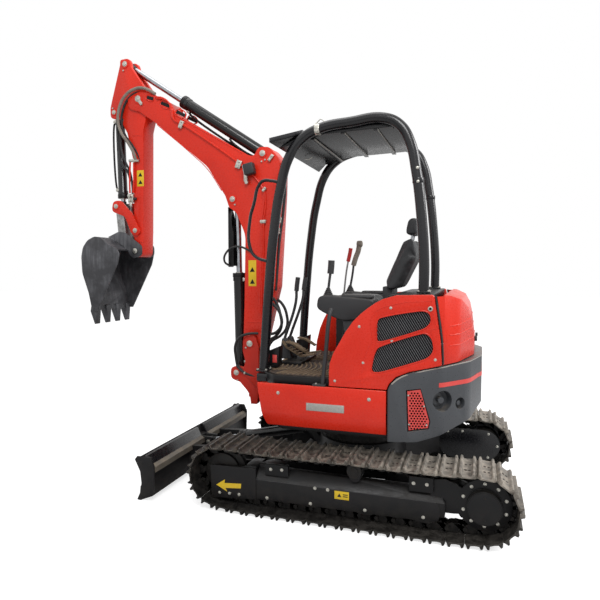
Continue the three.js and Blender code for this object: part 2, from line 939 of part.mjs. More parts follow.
function boom() {
  const side = outline([
    [FOOT[0] - 68, FOOT[1] - 60, 55],
    [FOOT[0] + 66, FOOT[1] - 60, 55],
    [895, 1300, 60],
    [884, 1840, 200],
    [960, 2010, 60],
    [BOOM_RAM_EYE[0] + 30, BOOM_RAM_EYE[1] - 60, 30],
    [1050, 2140, 40],
    [1200, 2370, 200],
    [1657, 2740, 100],
    [1800, 2838, 40],
    [1905, 2870, 60],
    [1910, 2990, 70],
    [1800, 3030, 60],
    [1540, 2895, 40],
    [1470, 2790, 40],
    [872, 2442, 80],
    [815, 2420, 40],
    [775, 2490, 40],
    [690, 2485, 50],
    [606, 2390, 90],
    [612, 2150],
    [655, 1450, 80],
  ]);
  const elbowSlot = outline([
    [1550, 3200],
    [1575, 2910],
    [1700, 2850],
    [1640, 2700],
    [1640, 2600],
    [2000, 2600],
    [2000, 3200],
  ]);
  const ramEyeSlot = drum(BOOM_RAM_EYE, 62, -24 - 8 - EYE_GAP, 24 + 8 + EYE_GAP, 20);
  const ramThroat = sidePlate(
    outline([
      [BOOM_RAM_EYE[0] - 62, BOOM_RAM_EYE[1]],
      [BOOM_RAM_EYE[0] - 75, BOOM_RAM_EYE[1] - 220],
      [BOOM_RAM_EYE[0] + 120, BOOM_RAM_EYE[1] - 220],
      [BOOM_RAM_EYE[0] + 120, BOOM_RAM_EYE[1] + 45],
      [BOOM_RAM_EYE[0] + 40, BOOM_RAM_EYE[1] + 42],
    ]),
    -24 - 8 - EYE_GAP,
    24 + 8 + EYE_GAP,
  );
  const armRamSlot = sidePlate(
    outline([
      [680, 2600],
      [680, 2400],
      [750, 2378, 20],
      [820, 2400],
      [900, 2452],
      [900, 2600],
    ]),
    -49 - PIN_GAP,
    49 + PIN_GAP,
  );
  return cut(
    sidePlate(side, -BOOM_HALF, BOOM_HALF),
    sidePlate(elbowSlot, -ARM_HALF - PIN_GAP, ARM_HALF + PIN_GAP),
    ramEyeSlot,
    ramThroat,
    armRamSlot,
  );
}
add('boom', boom(), RED);

ram({
  name: 'boom_ram',
  base: BOOM_RAM_BASE,
  eye: BOOM_RAM_EYE,
  radius: 46,
  rodRadius: 23,
  barrelLength: 760,
  retract: 415,
  baseHalf: 52,
  eyeHalf: 32,
  guard: 520,
});

ram({
  name: 'arm_ram',
  base: ARM_RAM_BASE,
  eye: ARM_RAM_EYE,
  radius: 44,
  rodRadius: 23,
  barrelLength: 845,
  retract: 475,
  baseHalf: 49,
  eyeHalf: 28,
});

// ---------- arm ----------

function arm() {
  const side = outline([
    [ARM_RAM_EYE[0] + 48, ARM_RAM_EYE[1] + 40, 42],
    [ARM_RAM_EYE[0] - 42, ARM_RAM_EYE[1] + 44, 42],
    [1885, 3200],
    [1795, 3075],
    [1735, 2990, 60],
    [1735, 2860, 60],
    [1780, 2700],
    [1795, 1900],
    [1805, 1680, 45],
    [1903, 1680, 45],
    [1903, 1740, 20],
    [1882, 1775],
    [1882, 1835],
    [1902, 1865, 20],
    [1902, 1920, 20],
    [1880, 1960],
    [1880, 2464, 60],
    [1932, 2684, 40],
    [1997, 2793],
    [2090, 2815, 36],
    [2090, 2895, 36],
    [2072, 2960],
    [1990, 3232],
  ]);
  const eyeHalf = 28 + EYE_GAP;
  const topSlot = sidePlate(
    outline([
      [1850, 3300],
      [1700, 3100],
      [1700, 3000],
      [1850, 3060],
      [1880, 3088],
      [1935, 3100, 30],
      [1978, 3160],
      [2010, 3200],
      [2010, 3300],
    ]),
    -eyeHalf,
    eyeHalf,
  );
  const noseSlot = sidePlate(
    outline([
      [2000, 2920],
      [1995, 2840],
      [1960, 2700],
      [2000, 2700],
      [2130, 2790],
      [2130, 2920],
    ]),
    -42 - PIN_GAP,
    42 + PIN_GAP,
  );
  return cut(sidePlate(side, -ARM_HALF, ARM_HALF), topSlot, noseSlot);
}
add('arm', arm(), RED);

ram({
  name: 'bucket_ram',
  base: BUCKET_RAM_BASE,
  eye: ROCKER_TOP,
  radius: 37,
  rodRadius: 20,
  barrelLength: 682,
  retract: 0,
  baseHalf: 42,
  eyeHalf: 26,
});

// ---------- bucket linkage and bucket ----------

function rocker() {
  const side = outline([
    [ROCKER_PIVOT[0] - 46, ROCKER_PIVOT[1] - 10, 36],
    [ROCKER_PIVOT[0] - 10, ROCKER_PIVOT[1] - 46, 36],
    [ROCKER_PIVOT[0] + 40, ROCKER_PIVOT[1] - 20, 30],
    [1950, 2010, 60],
    [ROCKER_TOP[0] + 46, ROCKER_TOP[1] - 40, 40],
    [ROCKER_TOP[0] + 30, ROCKER_TOP[1] + 44, 40],
    [ROCKER_TOP[0] - 40, ROCKER_TOP[1] + 46, 40],
    [1890, 2040, 60],
  ]);
  const inner = ARM_HALF + 2 * PIN_GAP;
  return join(
    ...pairPlates(side, inner, inner + LUG),
    drum(along(ROCKER_PIVOT, ROCKER_TOP, 112), 12, -inner - 5, inner + 5, 12),
  );
}
add('bucket_rocker', rocker(), RED);

function bucketLink() {
  const half = ARM_HALF - 8;
  const side = outline([
    [LINK_PIN[0] - 38, LINK_PIN[1] - 36, 34],
    [LINK_PIN[0] + 38, LINK_PIN[1] - 36, 34],
    [ROCKER_TOP[0] + 36, ROCKER_TOP[1] + 36, 34],
    [ROCKER_TOP[0] - 36, ROCKER_TOP[1] + 36, 34],
  ]);
  const slot = sidePlate(
    outline([
      [ROCKER_TOP[0] - 80, ROCKER_TOP[1] - 80],
      [ROCKER_TOP[0] + 80, ROCKER_TOP[1] - 80],
      [ROCKER_TOP[0] + 80, ROCKER_TOP[1] + 80],
      [ROCKER_TOP[0] - 80, ROCKER_TOP[1] + 80],
    ]),
    -26 - EYE_GAP,
    26 + EYE_GAP,
  );
  return cut(sidePlate(side, -half, half), slot);
}
add('bucket_link', bucketLink(), GREY);

function bucket() {
  const wall = 12;
  const back = [
    [1925, 1742],
    [2010, 1780],
    [2080, 1835, 30],
    [2140, 1843, 60],
    [2206, 1814, 80],
    [2252, 1757, 90],
    [2268.8, 1680, 110],
    [2262, 1550, 160],
    [2205, 1390, 80],
    [2172, 1245],
  ];
  const sideShape = outline([...back, [2125, 1245], [2095, 1300], [1925, 1620, 40], [1905, 1700]]);
  const shell = outline([
    ...back,
    [2172 - wall, 1245],
    [2205 - wall, 1394, 80],
    [2262 - wall, 1553, 150],
    [2268.8 - wall, 1678, 100],
    [2242, 1751, 80],
    [2199, 1804, 70],
    [2138, 1843 - wall, 50],
    [2084, 1835 - wall, 25],
    [2014, 1780 - wall],
    [1925 + 5, 1742 - wall],
  ]);
  const ear = outline([
    [BUCKET_PIN[0] - 52, BUCKET_PIN[1] - 40, 46],
    [BUCKET_PIN[0] + 30, BUCKET_PIN[1] - 60, 40],
    [1960, 1760],
    [2080, 1830],
    [2120, 1845],
    [LINK_PIN[0] + 20, LINK_PIN[1] + 44, 40],
    [LINK_PIN[0] - 44, LINK_PIN[1] + 34, 40],
    [BUCKET_PIN[0] - 52, BUCKET_PIN[1] + 44, 46],
  ]);
  const earInner = ARM_HALF + PIN_GAP;
  const tooth = outline([
    [2150, 1285],
    [2195, 1285],
    [2205, 1240],
    [2165, 1135],
    [2155, 1135],
    [2145, 1240],
  ]);
  const toothXs = [-1.5, -0.5, 0.5, 1.5].map((step) => step * 132);
  return join(
    ...pairPlates(sideShape, BUCKET_HALF - wall, BUCKET_HALF),
    sidePlate(shell, -BUCKET_HALF + 1, BUCKET_HALF - 1),
    ...pairPlates(ear, earInner, earInner + LUG),
    ...toothXs.map((y) => sidePlate(tooth, y - 28, y + 28)),
  );
}
add('bucket', bucket(), BLACK);

machine.children.forEach((mesh) => mesh.position.setX(-FRAME_X));

export default machine;
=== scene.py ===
# %% [markdown]
# # A compact tracked excavator, from its fixed frame to its finish
# The engineering model gives every load-carrying piece its place and its joints. This lesson adds what the
# eye looks for: rounded plate edges, bolts, hoses, vents, a stuffed seat, and paint with the dust of a yard.
# Every length below is in millimetres from the slewing axis, at ground level, and goes through one function.

# %% Load the fixed frame
import json
import math

import bpy
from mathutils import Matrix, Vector

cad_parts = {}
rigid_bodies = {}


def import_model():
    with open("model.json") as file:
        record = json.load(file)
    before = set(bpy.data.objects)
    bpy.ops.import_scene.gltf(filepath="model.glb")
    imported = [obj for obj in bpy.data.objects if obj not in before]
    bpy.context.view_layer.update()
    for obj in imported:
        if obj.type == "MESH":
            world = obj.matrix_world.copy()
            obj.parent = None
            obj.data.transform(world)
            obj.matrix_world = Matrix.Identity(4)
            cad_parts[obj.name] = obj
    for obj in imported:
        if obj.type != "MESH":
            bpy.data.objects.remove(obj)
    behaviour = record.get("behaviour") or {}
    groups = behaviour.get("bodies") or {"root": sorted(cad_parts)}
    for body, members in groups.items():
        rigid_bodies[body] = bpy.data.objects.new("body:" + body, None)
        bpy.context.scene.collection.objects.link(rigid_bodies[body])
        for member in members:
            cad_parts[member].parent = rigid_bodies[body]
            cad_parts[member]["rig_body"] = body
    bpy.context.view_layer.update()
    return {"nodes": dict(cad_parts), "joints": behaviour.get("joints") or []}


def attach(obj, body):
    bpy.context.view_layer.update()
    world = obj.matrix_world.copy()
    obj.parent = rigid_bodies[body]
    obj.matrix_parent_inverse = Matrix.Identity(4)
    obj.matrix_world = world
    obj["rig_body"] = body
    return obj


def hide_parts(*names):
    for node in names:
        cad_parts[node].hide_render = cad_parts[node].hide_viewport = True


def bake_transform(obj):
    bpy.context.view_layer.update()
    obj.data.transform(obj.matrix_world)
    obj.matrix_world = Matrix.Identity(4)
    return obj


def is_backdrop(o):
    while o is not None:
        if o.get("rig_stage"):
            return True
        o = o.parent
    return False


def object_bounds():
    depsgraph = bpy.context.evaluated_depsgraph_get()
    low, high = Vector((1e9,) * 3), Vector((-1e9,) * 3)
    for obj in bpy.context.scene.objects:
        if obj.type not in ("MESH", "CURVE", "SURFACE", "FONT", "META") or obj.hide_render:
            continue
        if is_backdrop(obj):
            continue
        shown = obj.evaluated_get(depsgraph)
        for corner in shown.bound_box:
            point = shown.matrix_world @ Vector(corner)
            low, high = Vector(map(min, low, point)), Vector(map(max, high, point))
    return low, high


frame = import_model()

# %% [markdown]
# ## Places
# A digger's drawings are dimensioned from its slewing axis, the one line that every turning part shares.
# The joint list says where that axis stands, so one helper can turn drawing millimetres into scene metres.

# %% Drawing millimetres to scene metres
SLEW = Vector(next(j["pos_m"] for j in frame["joints"] if j["name"] == "slew"))


def at(x, y, z):
    return Vector((SLEW.x + x / 1000, y / 1000, z / 1000))


def mm(length):
    return length / 1000


print("slewing axis stands at x =", round(SLEW.x, 4))

# %% [markdown]
# ## The camera, the floor and the light
# A 33 mm lens at eye height, level with the tail and turned a little forward, shows the machine's left side
# and a strip of its back. The camera is made first, because everything after it is judged from there.
# The studio is a white floor and world. The world looks white to the camera and in reflections, while the
# light that falls on the machine keeps a plain level, so that a colour renders about as it is written.

# %% Camera at standing eye height
CAMERA_YAW = math.radians(18.25)
CAMERA_PITCH = math.radians(3.2)
camera_data = bpy.data.cameras.new("eye_height")
camera_data.lens = 33.0
camera_data.sensor_width = 36.0
camera = bpy.data.objects.new("eye_height", camera_data)
bpy.context.scene.collection.objects.link(camera)
camera.location = at(-820, 3940, 1580)
camera.rotation_mode = "QUATERNION"
look = Vector((math.sin(CAMERA_YAW), -math.cos(CAMERA_YAW), -math.tan(CAMERA_PITCH)))
camera.rotation_quaternion = look.to_track_quat("-Z", "Y")
bpy.context.scene.camera = camera
print("camera looks along", [round(v, 3) for v in look.normalized()])

# %% [markdown]
# ## Small tools
# An operator acts on everything that is selected, so each piece starts with an empty selection.
# One function turns an sRGB hex colour into the linear values that a shader wants, and one adds a node.

# %% Colour and node helpers
def linear(hex_colour):
    parts = [int(hex_colour[i : i + 2], 16) / 255 for i in (1, 3, 5)]
    return [p / 12.92 if p <= 0.04045 else ((p + 0.055) / 1.055) ** 2.4 for p in parts] + [1.0]


def add_node(tree, kind, inputs=None, **settings):
    made = tree.nodes.new(kind)
    for name, value in settings.items():
        setattr(made, name, value)
    for socket, value in (inputs or {}).items():
        if isinstance(value, bpy.types.NodeSocket):
            tree.links.new(value, made.inputs[socket])
        else:
            made.inputs[socket].default_value = value
    return made


print("paint red in linear light:", [round(v, 3) for v in linear("#cf3626")])

# %% [markdown]
# ## Finishes
# Each finish starts from what the real one is and how its surface was made. Three things repeat on a
# machine that stands in a yard, so they share helpers: a colour that drifts slowly over a panel, dust that
# settles on what faces up and near the ground, and paint that has rubbed off along the edges of plates,
# which is lightened there also as painted highlight along those edges.

# %% Start a finish, and the masks that several finishes share
def start_finish(name, **sockets):
    material = bpy.data.materials.new(name)
    material.use_nodes = True
    tree = material.node_tree
    tree.nodes.clear()
    shader = add_node(tree, "ShaderNodeBsdfPrincipled", sockets)
    add_node(tree, "ShaderNodeOutputMaterial", {"Surface": shader.outputs["BSDF"]})
    place = add_node(tree, "ShaderNodeTexCoord")
    return material, tree, shader, place.outputs["Object"]


def noise_mask(tree, place, size_mm, low, high, detail=4.0, rough=0.6):
    """A 0..1 mask whose blotches are about size_mm across."""
    cloud = add_node(
        tree, "ShaderNodeTexNoise", {
            "Vector": place, "Scale": 1000 / size_mm, "Detail": detail, "Roughness": rough
        }
    )
    ramp = add_node(
        tree,
        "ShaderNodeMapRange",
        {"Value": cloud.outputs["Fac"], "From Min": low, "From Max": high, "To Min": 0.0, "To Max": 1.0},
    )
    return ramp.outputs["Result"]


def times(tree, first, second):
    return add_node(
        tree, "ShaderNodeMath", {0: first, 1: second}, operation="MULTIPLY", use_clamp=True
    ).outputs[0]


def plus(tree, first, second):
    return add_node(tree, "ShaderNodeMath", {0: first, 1: second}, operation="ADD", use_clamp=True).outputs[0]


def mixed(tree, amount, first, second):
    """Mixes two colours. Each is a hex colour or another node's output."""
    first = linear(first) if isinstance(first, str) else first
    second = linear(second) if isinstance(second, str) else second
    mix = add_node(tree, "ShaderNodeMix", {0: amount, 6: first, 7: second}, data_type="RGBA")
    return mix.outputs[2]


def ranged(tree, value, low, high):
    return add_node(
        tree, "ShaderNodeMapRange", {"Value": value, "To Min": low, "To Max": high}
    ).outputs["Result"]


def settled_dust(tree, place, top_mm):
    """More dust on faces that look up, and below top_mm, broken up by a cloud of 60 mm blotches."""
    facing = add_node(tree, "ShaderNodeNewGeometry").outputs["Normal"]
    up = add_node(tree, "ShaderNodeSeparateXYZ", {"Vector": facing}).outputs["Z"]
    lying = add_node(
        tree, "ShaderNodeMapRange", {"Value": up, "From Min": 0.35, "From Max": 1.0}
    ).outputs["Result"]
    height = add_node(tree, "ShaderNodeSeparateXYZ", {"Vector": place}).outputs["Z"]
    low_down = add_node(
        tree, "ShaderNodeMapRange", {"Value": height, "From Min": top_mm / 1000, "From Max": 0.0}
    ).outputs["Result"]
    cloud = noise_mask(tree, place, 60, 0.35, 0.75)
    return times(tree, plus(tree, times(tree, lying, 0.7), times(tree, low_down, 0.6)), cloud)


def rubbed_and_highlit_edges(tree, place, radius_mm, keep=0.5):
    """White along sharp edges, where plates meet: paint rubbed off first, and painted highlight along the edge.
    """
    rounded = add_node(tree, "ShaderNodeBevel", {"Radius": radius_mm / 1000}, samples=4).outputs["Normal"]
    flat = add_node(tree, "ShaderNodeNewGeometry").outputs["Normal"]
    turn = add_node(
        tree, "ShaderNodeVectorMath", {0: rounded, 1: flat}, operation="DOT_PRODUCT"
    ).outputs["Value"]
    edge = add_node(
        tree, "ShaderNodeMapRange", {"Value": turn, "From Min": 0.97, "From Max": 0.80}
    ).outputs["Result"]
    return times(tree, edge, noise_mask(tree, place, 35, keep, keep + 0.15))


def bumps(tree, shader, height, distance_mm, strength=1.0):
    bump = add_node(
        tree, "ShaderNodeBump", {"Height": height, "Distance": distance_mm / 1000, "Strength": strength}
    )
    tree.links.new(bump.outputs["Normal"], shader.inputs["Normal"])


def colour_from(tree, shader, source):
    tree.links.new(source, shader.inputs["Base Color"])


def roughness_from(tree, shader, source):
    tree.links.new(source, shader.inputs["Roughness"])


FINISH = {}
print("finish helpers ready")

# %% [markdown]
# ### Enamel on plate and sheet
# Sprayed two-pack enamel over welded plate: a saturated red with the slight ripple of sprayed paint
# (orange peel, about 3 mm from crest to crest), semi-gloss, so it shows broad soft highlights and no mirror.
# Dust dulls it low down. A second, satin enamel in black covers everything that gets dirty.

# %% Red enamel
def enamel(name, colour, deep, dust, rough, dust_top, peel=0.04, edge_wear_and_highlight=None, shine=0.5):
    material, tree, shader, place = start_finish(name, **{"IOR": 1.5, "Specular IOR Level": shine})
    drift = noise_mask(tree, place, 400, 0.3, 0.7, detail=2.0)
    dusty = settled_dust(tree, place, dust_top)
    paint = mixed(tree, drift, colour, deep)
    if edge_wear_and_highlight:
        paint = mixed(tree, rubbed_and_highlit_edges(tree, place, edge_wear_and_highlight), paint, "#6f6a66")
    colour_from(tree, shader, mixed(tree, dusty, paint, dust))
    speck = noise_mask(tree, place, 14, 0.35, 0.65)
    roughness_from(tree, shader, plus(tree, ranged(tree, speck, rough, rough + 0.1), times(tree, dusty, 0.35)))
    peel_height = add_node(
        tree, "ShaderNodeTexNoise", {"Vector": place, "Scale": 333.0, "Detail": 1.0}
    ).outputs["Fac"]
    bumps(tree, shader, peel_height, peel)
    FINISH[name] = material


enamel("red_enamel", "#e0301c", "#d12a18", "#a8583f", 0.24, 420, shine=0.32)
enamel("red_casting_enamel", "#cc2b19", "#b82415", "#9a523d", 0.32, 420, peel=0.3, shine=0.32)
# The black enamel's light edges are rubbed paint and also painted highlight along the edges.
enamel("black_enamel", "#171618", "#111112", "#38342f", 0.34, 260, edge_wear_and_highlight=2.5, shine=0.26)
enamel("charcoal_enamel", "#46494d", "#3b3d41", "#8a7f72", 0.27, 300, peel=0.12)
enamel("canopy_black_enamel", "#131317", "#0e0e11", "#454340", 0.20, 200)
enamel("vent_wire_enamel", "#85868a", "#6f7074", "#77736d", 0.30, 200)
# Pale grey for edges that catch the light: scraped paint and painted highlight.
enamel("scraped_and_highlight_lip_enamel", "#a8a49c", "#85817a", "#b0a899", 0.35, 900)
# Light brown for the blade's ledge: dust, and painted highlight on faces that look up.
enamel("dust_and_highlight_ledge_enamel", "#6b6459", "#3f3b36", "#877c6c", 0.45, 400)
enamel("ram_gloss_enamel", "#151517", "#101011", "#3a3733", 0.16, 200)
print(len(FINISH), "enamels")

# %% [markdown]
# ### Bucket and blade steel
# Both leave the works in black primer and lose it where they dig. The bucket keeps a grey-black skin with
# a brushed look along the digging direction, lighter where soil has polished it.

# %% Scuffed primer
material, tree, shader, place = start_finish("scuffed_primer", **{"IOR": 1.5, "Metallic": 0.25})
streaks = add_node(tree, "ShaderNodeMapping", {"Vector": place, "Scale": (1.0, 1.0, 0.12)})
scuff = noise_mask(tree, streaks.outputs["Vector"], 24, 0.42, 0.72, detail=6.0)
polish = noise_mask(tree, place, 180, 0.42, 0.66)
worn = plus(
    tree, times(tree, scuff, times(tree, polish, 0.55)), times(tree, rubbed_and_highlit_edges(tree, place, 5.0, 0.4), 0.8)
)
colour_from(tree, shader, mixed(tree, worn, mixed(tree, polish, "#39393c", "#4c4c50"), "#85868a"))
roughness_from(tree, shader, ranged(tree, scuff, 0.48, 0.36))
bumps(tree, shader, scuff, 0.4)
FINISH["scuffed_primer"] = material

# %% [markdown]
# ### Track steel
# Rolled shoes of manganese steel: dark scale with dried brown earth in every corner, and bare bright metal
# only on the crests of the grousers, where they stand on the ground. Earth and bright crests show only on the
# upper run, so the lower run stays dark as painted shade, and the earth turns pale towards the tail as
# painted highlight.

# %% Track steel with dried earth, painted highlight and painted shade
material, tree, shader, place = start_finish("earth_and_painted_light_track_steel", **{"IOR": 1.5, "Metallic": 0.35})
earth = noise_mask(tree, place, 45, 0.38, 0.68, detail=6.0)
scale = noise_mask(tree, place, 9, 0.3, 0.7)
steel = mixed(tree, scale, "#201e1d", "#151413")
apart = add_node(tree, "ShaderNodeSeparateXYZ", {"Vector": place})
# Height mask: the upper run takes the earth and the bright crests, and the lower run stays dark as painted
# shade.
upper = add_node(
    tree,
    "ShaderNodeMapRange",
    {"Value": apart.outputs["Z"], "From Min": 0.16, "From Max": 0.42, "To Min": 0.12},
).outputs["Result"]
# Painted highlight towards the tail: the earth and a pale film turn lighter at the rear of the upper run.
tail_highlight = add_node(
    tree, "ShaderNodeMapRange", {"Value": apart.outputs["X"], "From Min": 0.2, "From Max": -1.3}
).outputs["Result"]
soil_and_tail_highlight = mixed(tree, tail_highlight, "#5d5347", "#a9a094")
film = times(tree, times(tree, tail_highlight, upper), 0.35)
earth_and_painted_light = mixed(tree, plus(tree, times(tree, times(tree, earth, 0.65), upper), film), steel, soil_and_tail_highlight)
# Crests: bare worn metal and painted highlight, shown on the upper run only.
crest_wear_and_highlight = times(tree, times(tree, rubbed_and_highlit_edges(tree, place, 4.0, 0.38), 0.8), upper)
colour_from(tree, shader, mixed(tree, crest_wear_and_highlight, earth_and_painted_light, "#b5afa5"))
roughness_from(tree, shader, ranged(tree, earth, 0.45, 0.85))
bumps(tree, shader, plus(tree, times(tree, earth, 0.6), times(tree, scale, 0.4)), 1.5)
FINISH["earth_and_painted_light_track_steel"] = material


def greasy_steel(name, colour, other, rough):
    """Steel that earth doesn't stay on: links with oil on them, bolt heads rubbed to bare metal."""
    material, tree, shader, place = start_finish(name, **{"IOR": 1.5, "Metallic": 0.4})
    blotch = noise_mask(tree, place, 30, 0.38, 0.68)
    colour_from(tree, shader, mixed(tree, blotch, colour, other))
    roughness_from(tree, shader, ranged(tree, blotch, rough, rough + 0.25))
    bumps(tree, shader, blotch, 0.6)
    FINISH[name] = material


greasy_steel("oily_link_steel", "#141312", "#231f1c", 0.42)
greasy_steel("worn_bolt_steel", "#2a2522", "#57504a", 0.50)
# Lighter grey for the beam's weld bead: dust, and painted highlight along the bend.
greasy_steel("dust_and_highlight_edge", "#2e2e30", "#454443", 0.55)
greasy_steel("worn_edge_steel", "#3a3938", "#5d5b58", 0.42)
print("digging and track steel ready")

# %% [markdown]
# ### Bright metal
# Ram rods are ground bar under hard chrome: nearly a mirror, with an oil film. Pins, bolts and the bucket
# link are bare or zinc-plated steel, which is softer and greyer. Metals keep the default IOR.

# %% Chrome, zinc and bare steel
def bright_metal(name, colour, dark, rough, grain_mm):
    material, tree, shader, place = start_finish(name, Metallic=1.0)
    film = noise_mask(tree, place, grain_mm, 0.35, 0.7)
    colour_from(tree, shader, mixed(tree, film, colour, dark))
    roughness_from(tree, shader, ranged(tree, film, rough, rough + 0.14))
    bumps(tree, shader, film, 0.05)
    FINISH[name] = material


bright_metal("hard_chrome", "#aeb1b5", "#8f9297", 0.14, 40)
bright_metal("zinc_plate", "#cfcdc4", "#a5a39b", 0.34, 12)
bright_metal("bare_steel", "#a3a3a3", "#7b7a78", 0.38, 25)
bright_metal("brushed_aluminium_foil", "#b9b8b2", "#a2a19b", 0.34, 6)
print("bright metals ready")

# %% [markdown]
# ### Rubber, plastic and vinyl
# Hoses and the floor mat are carbon-black rubber, matt and a little grey; the mat is brown with walked-in
# earth. Levers and consoles are moulded plastic with a fine grain. The seat is vinyl over foam, whose
# leather-like grain is about 3 mm across and shows as soft specks in the gloss.

# %% Rubber, plastic and vinyl
def moulded(name, colour, other, rough, grain_mm, depth_mm, dust="#6d655b", dust_top=300):
    material, tree, shader, place = start_finish(name, **{"IOR": 1.5})
    dusty = settled_dust(tree, place, dust_top)
    drift = noise_mask(tree, place, 90, 0.3, 0.7)
    colour_from(tree, shader, mixed(tree, times(tree, dusty, 0.6), mixed(tree, drift, colour, other), dust))
    roughness_from(tree, shader, ranged(tree, drift, rough, rough + 0.12))
    grain = add_node(
        tree, "ShaderNodeTexVoronoi", {"Vector": place, "Scale": 1000 / grain_mm}
    ).outputs["Distance"]
    bumps(tree, shader, grain, depth_mm)
    FINISH[name] = material


moulded("hose_rubber", "#232324", "#1b1b1c", 0.55, 2.0, 0.1)
moulded("moulded_plastic", "#232325", "#2b2b2d", 0.50, 2.0, 0.12)
moulded("walked_rubber_mat", "#3b3029", "#2c2520", 0.75, 5.0, 0.6, dust="#5c4c3e")
# Light tan for raised ribs and treads: walked-in earth and painted highlight.
moulded("earth_and_highlight_rubber_ribs", "#7b6853", "#66543f", 0.78, 5.0, 0.6, dust="#8d7a63", dust_top=1500)
moulded("seat_vinyl", "#222326", "#1a1b1d", 0.40, 3.0, 0.2)
moulded("woven_sleeve", "#8d857b", "#756d64", 0.80, 3.0, 0.4)
moulded("red_plastic", "#b3211c", "#a01b17", 0.35, 2.5, 0.05)
moulded("yellow_vinyl", "#e6c21e", "#d9b416", 0.38, 4.0, 0.03)
moulded("red_vinyl", "#d84a45", "#cc413c", 0.30, 4.0, 0.03)
moulded("white_vinyl", "#d9d6cd", "#cac6bc", 0.40, 4.0, 0.03)
# Near black for painted shade in openings, holes and keyways, and for printed marks.
moulded("painted_shade_and_print_black", "#101011", "#0b0b0c", 0.85, 4.0, 0.1)
print(sorted(FINISH))

# %% [markdown]
# ### Clear plastic
# Lamp lenses are polycarbonate: clear, smooth, and bright only where they catch the light.

# %% Lamp lens
material, tree, shader, place = start_finish("polycarbonate_lens", **{"IOR": 1.58, "Roughness": 0.08})
ribs = add_node(tree, "ShaderNodeTexWave", {"Vector": place, "Scale": 60.0}).outputs["Fac"]
colour_from(tree, shader, mixed(tree, ribs, "#c9cccc", "#a9adad"))
bumps(tree, shader, ribs, 0.4)
FINISH["polycarbonate_lens"] = material
print(len(FINISH), "finishes in all")

# %% [markdown]
# ## Modelling tools
# These do what a modeller's hands do: add a primitive at its size and place, bake the place into the mesh,
# round its edges with a bevel, shade it smooth by angle, and hang it on the body it moves with.

# %% Piece helpers
def deselect():
    if bpy.context.object and bpy.context.object.mode != "OBJECT":
        bpy.ops.object.mode_set(mode="OBJECT")
    bpy.ops.object.select_all(action="DESELECT")


def pick(piece):
    deselect()
    piece.select_set(True)
    bpy.context.view_layer.objects.active = piece


def settle(piece):
    """Puts a piece's place, turn and size into its mesh, so that its object sits at the origin."""
    pick(piece)
    bpy.ops.object.transform_apply(location=True, rotation=True, scale=True)
    return piece


def edit_all():
    bpy.ops.object.mode_set(mode="EDIT")
    bpy.ops.mesh.select_all(action="SELECT")


def round_edges(piece, width, sharper_than=30, segments=2):
    """Bevels every edge that turns more than an angle, as a grinder takes the arris off plate."""
    pick(piece)
    bpy.ops.object.mode_set(mode="EDIT")
    bpy.ops.mesh.select_mode(type="EDGE")
    bpy.ops.mesh.select_all(action="DESELECT")
    bpy.ops.mesh.edges_select_sharp(sharpness=math.radians(sharper_than))
    bpy.ops.mesh.bevel(offset=mm(width), segments=segments, affect="EDGES", clamp_overlap=True)
    bpy.ops.object.mode_set(mode="OBJECT")
    return piece


def outward(piece):
    pick(piece)
    edit_all()
    bpy.ops.mesh.remove_doubles(threshold=1e-6)
    bpy.ops.mesh.normals_make_consistent(inside=False)
    bpy.ops.object.mode_set(mode="OBJECT")
    return piece


def finish_piece(piece, name, finish, body=None, slot=None, smooth=35):
    piece.name = piece.data.name = name
    piece.data.materials.clear()
    piece.data.materials.append(FINISH[finish])
    pick(piece)
    if smooth:
        bpy.ops.object.shade_smooth_by_angle(angle=math.radians(smooth))
    if body:
        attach(piece, body)
        slot or SLOT_OF[finish]
    return piece


SLOT_OF = {
    "red_enamel": "red_paint",
    "red_casting_enamel": "red_paint",
    "black_enamel": "black_paint",
    "canopy_black_enamel": "black_paint",
    "charcoal_enamel": "grey_paint",
    "scuffed_primer": "black_paint",
    "earth_and_painted_light_track_steel": "track_steel",
    "oily_link_steel": "track_steel",
    "worn_bolt_steel": "track_steel",
    "dust_and_highlight_edge": "black_paint",
    "vent_wire_enamel": "black_paint",
    "ram_gloss_enamel": "black_paint",
    "dust_and_highlight_ledge_enamel": "black_paint",
    "scraped_and_highlight_lip_enamel": "grey_paint",
    "earth_and_highlight_rubber_ribs": "floor_mat",
    "worn_edge_steel": "black_paint",
    "hard_chrome": "chrome",
    "zinc_plate": "bare_steel",
    "bare_steel": "bare_steel",
    "brushed_aluminium_foil": "bare_steel",
    "hose_rubber": "black_plastic",
    "moulded_plastic": "black_plastic",
    "walked_rubber_mat": "floor_mat",
    "seat_vinyl": "seat_vinyl",
    "woven_sleeve": "black_plastic",
    "red_plastic": "red_paint",
    "yellow_vinyl": "black_plastic",
    "red_vinyl": "red_paint",
    "white_vinyl": "bare_steel",
    "painted_shade_and_print_black": "black_plastic",
    "polycarbonate_lens": "black_plastic",
}

# %% Boxes, rounds, plates and tubes
def cuboid(low, high, bevel=0.0, segments=2):
    """A box between two corners in drawing millimetres, with rounded edges."""
    deselect()
    middle = at(*[(a + b) / 2 for a, b in zip(low, high)])
    bpy.ops.mesh.primitive_cube_add(size=1, location=middle, scale=[mm(b - a) for a, b in zip(low, high)])
    piece = settle(bpy.context.active_object)
    return round_edges(piece, bevel, segments=segments) if bevel else piece


TURN_TO = {"x": (0, math.pi / 2, 0), "y": (math.pi / 2, 0, 0), "z": (0, 0, 0)}


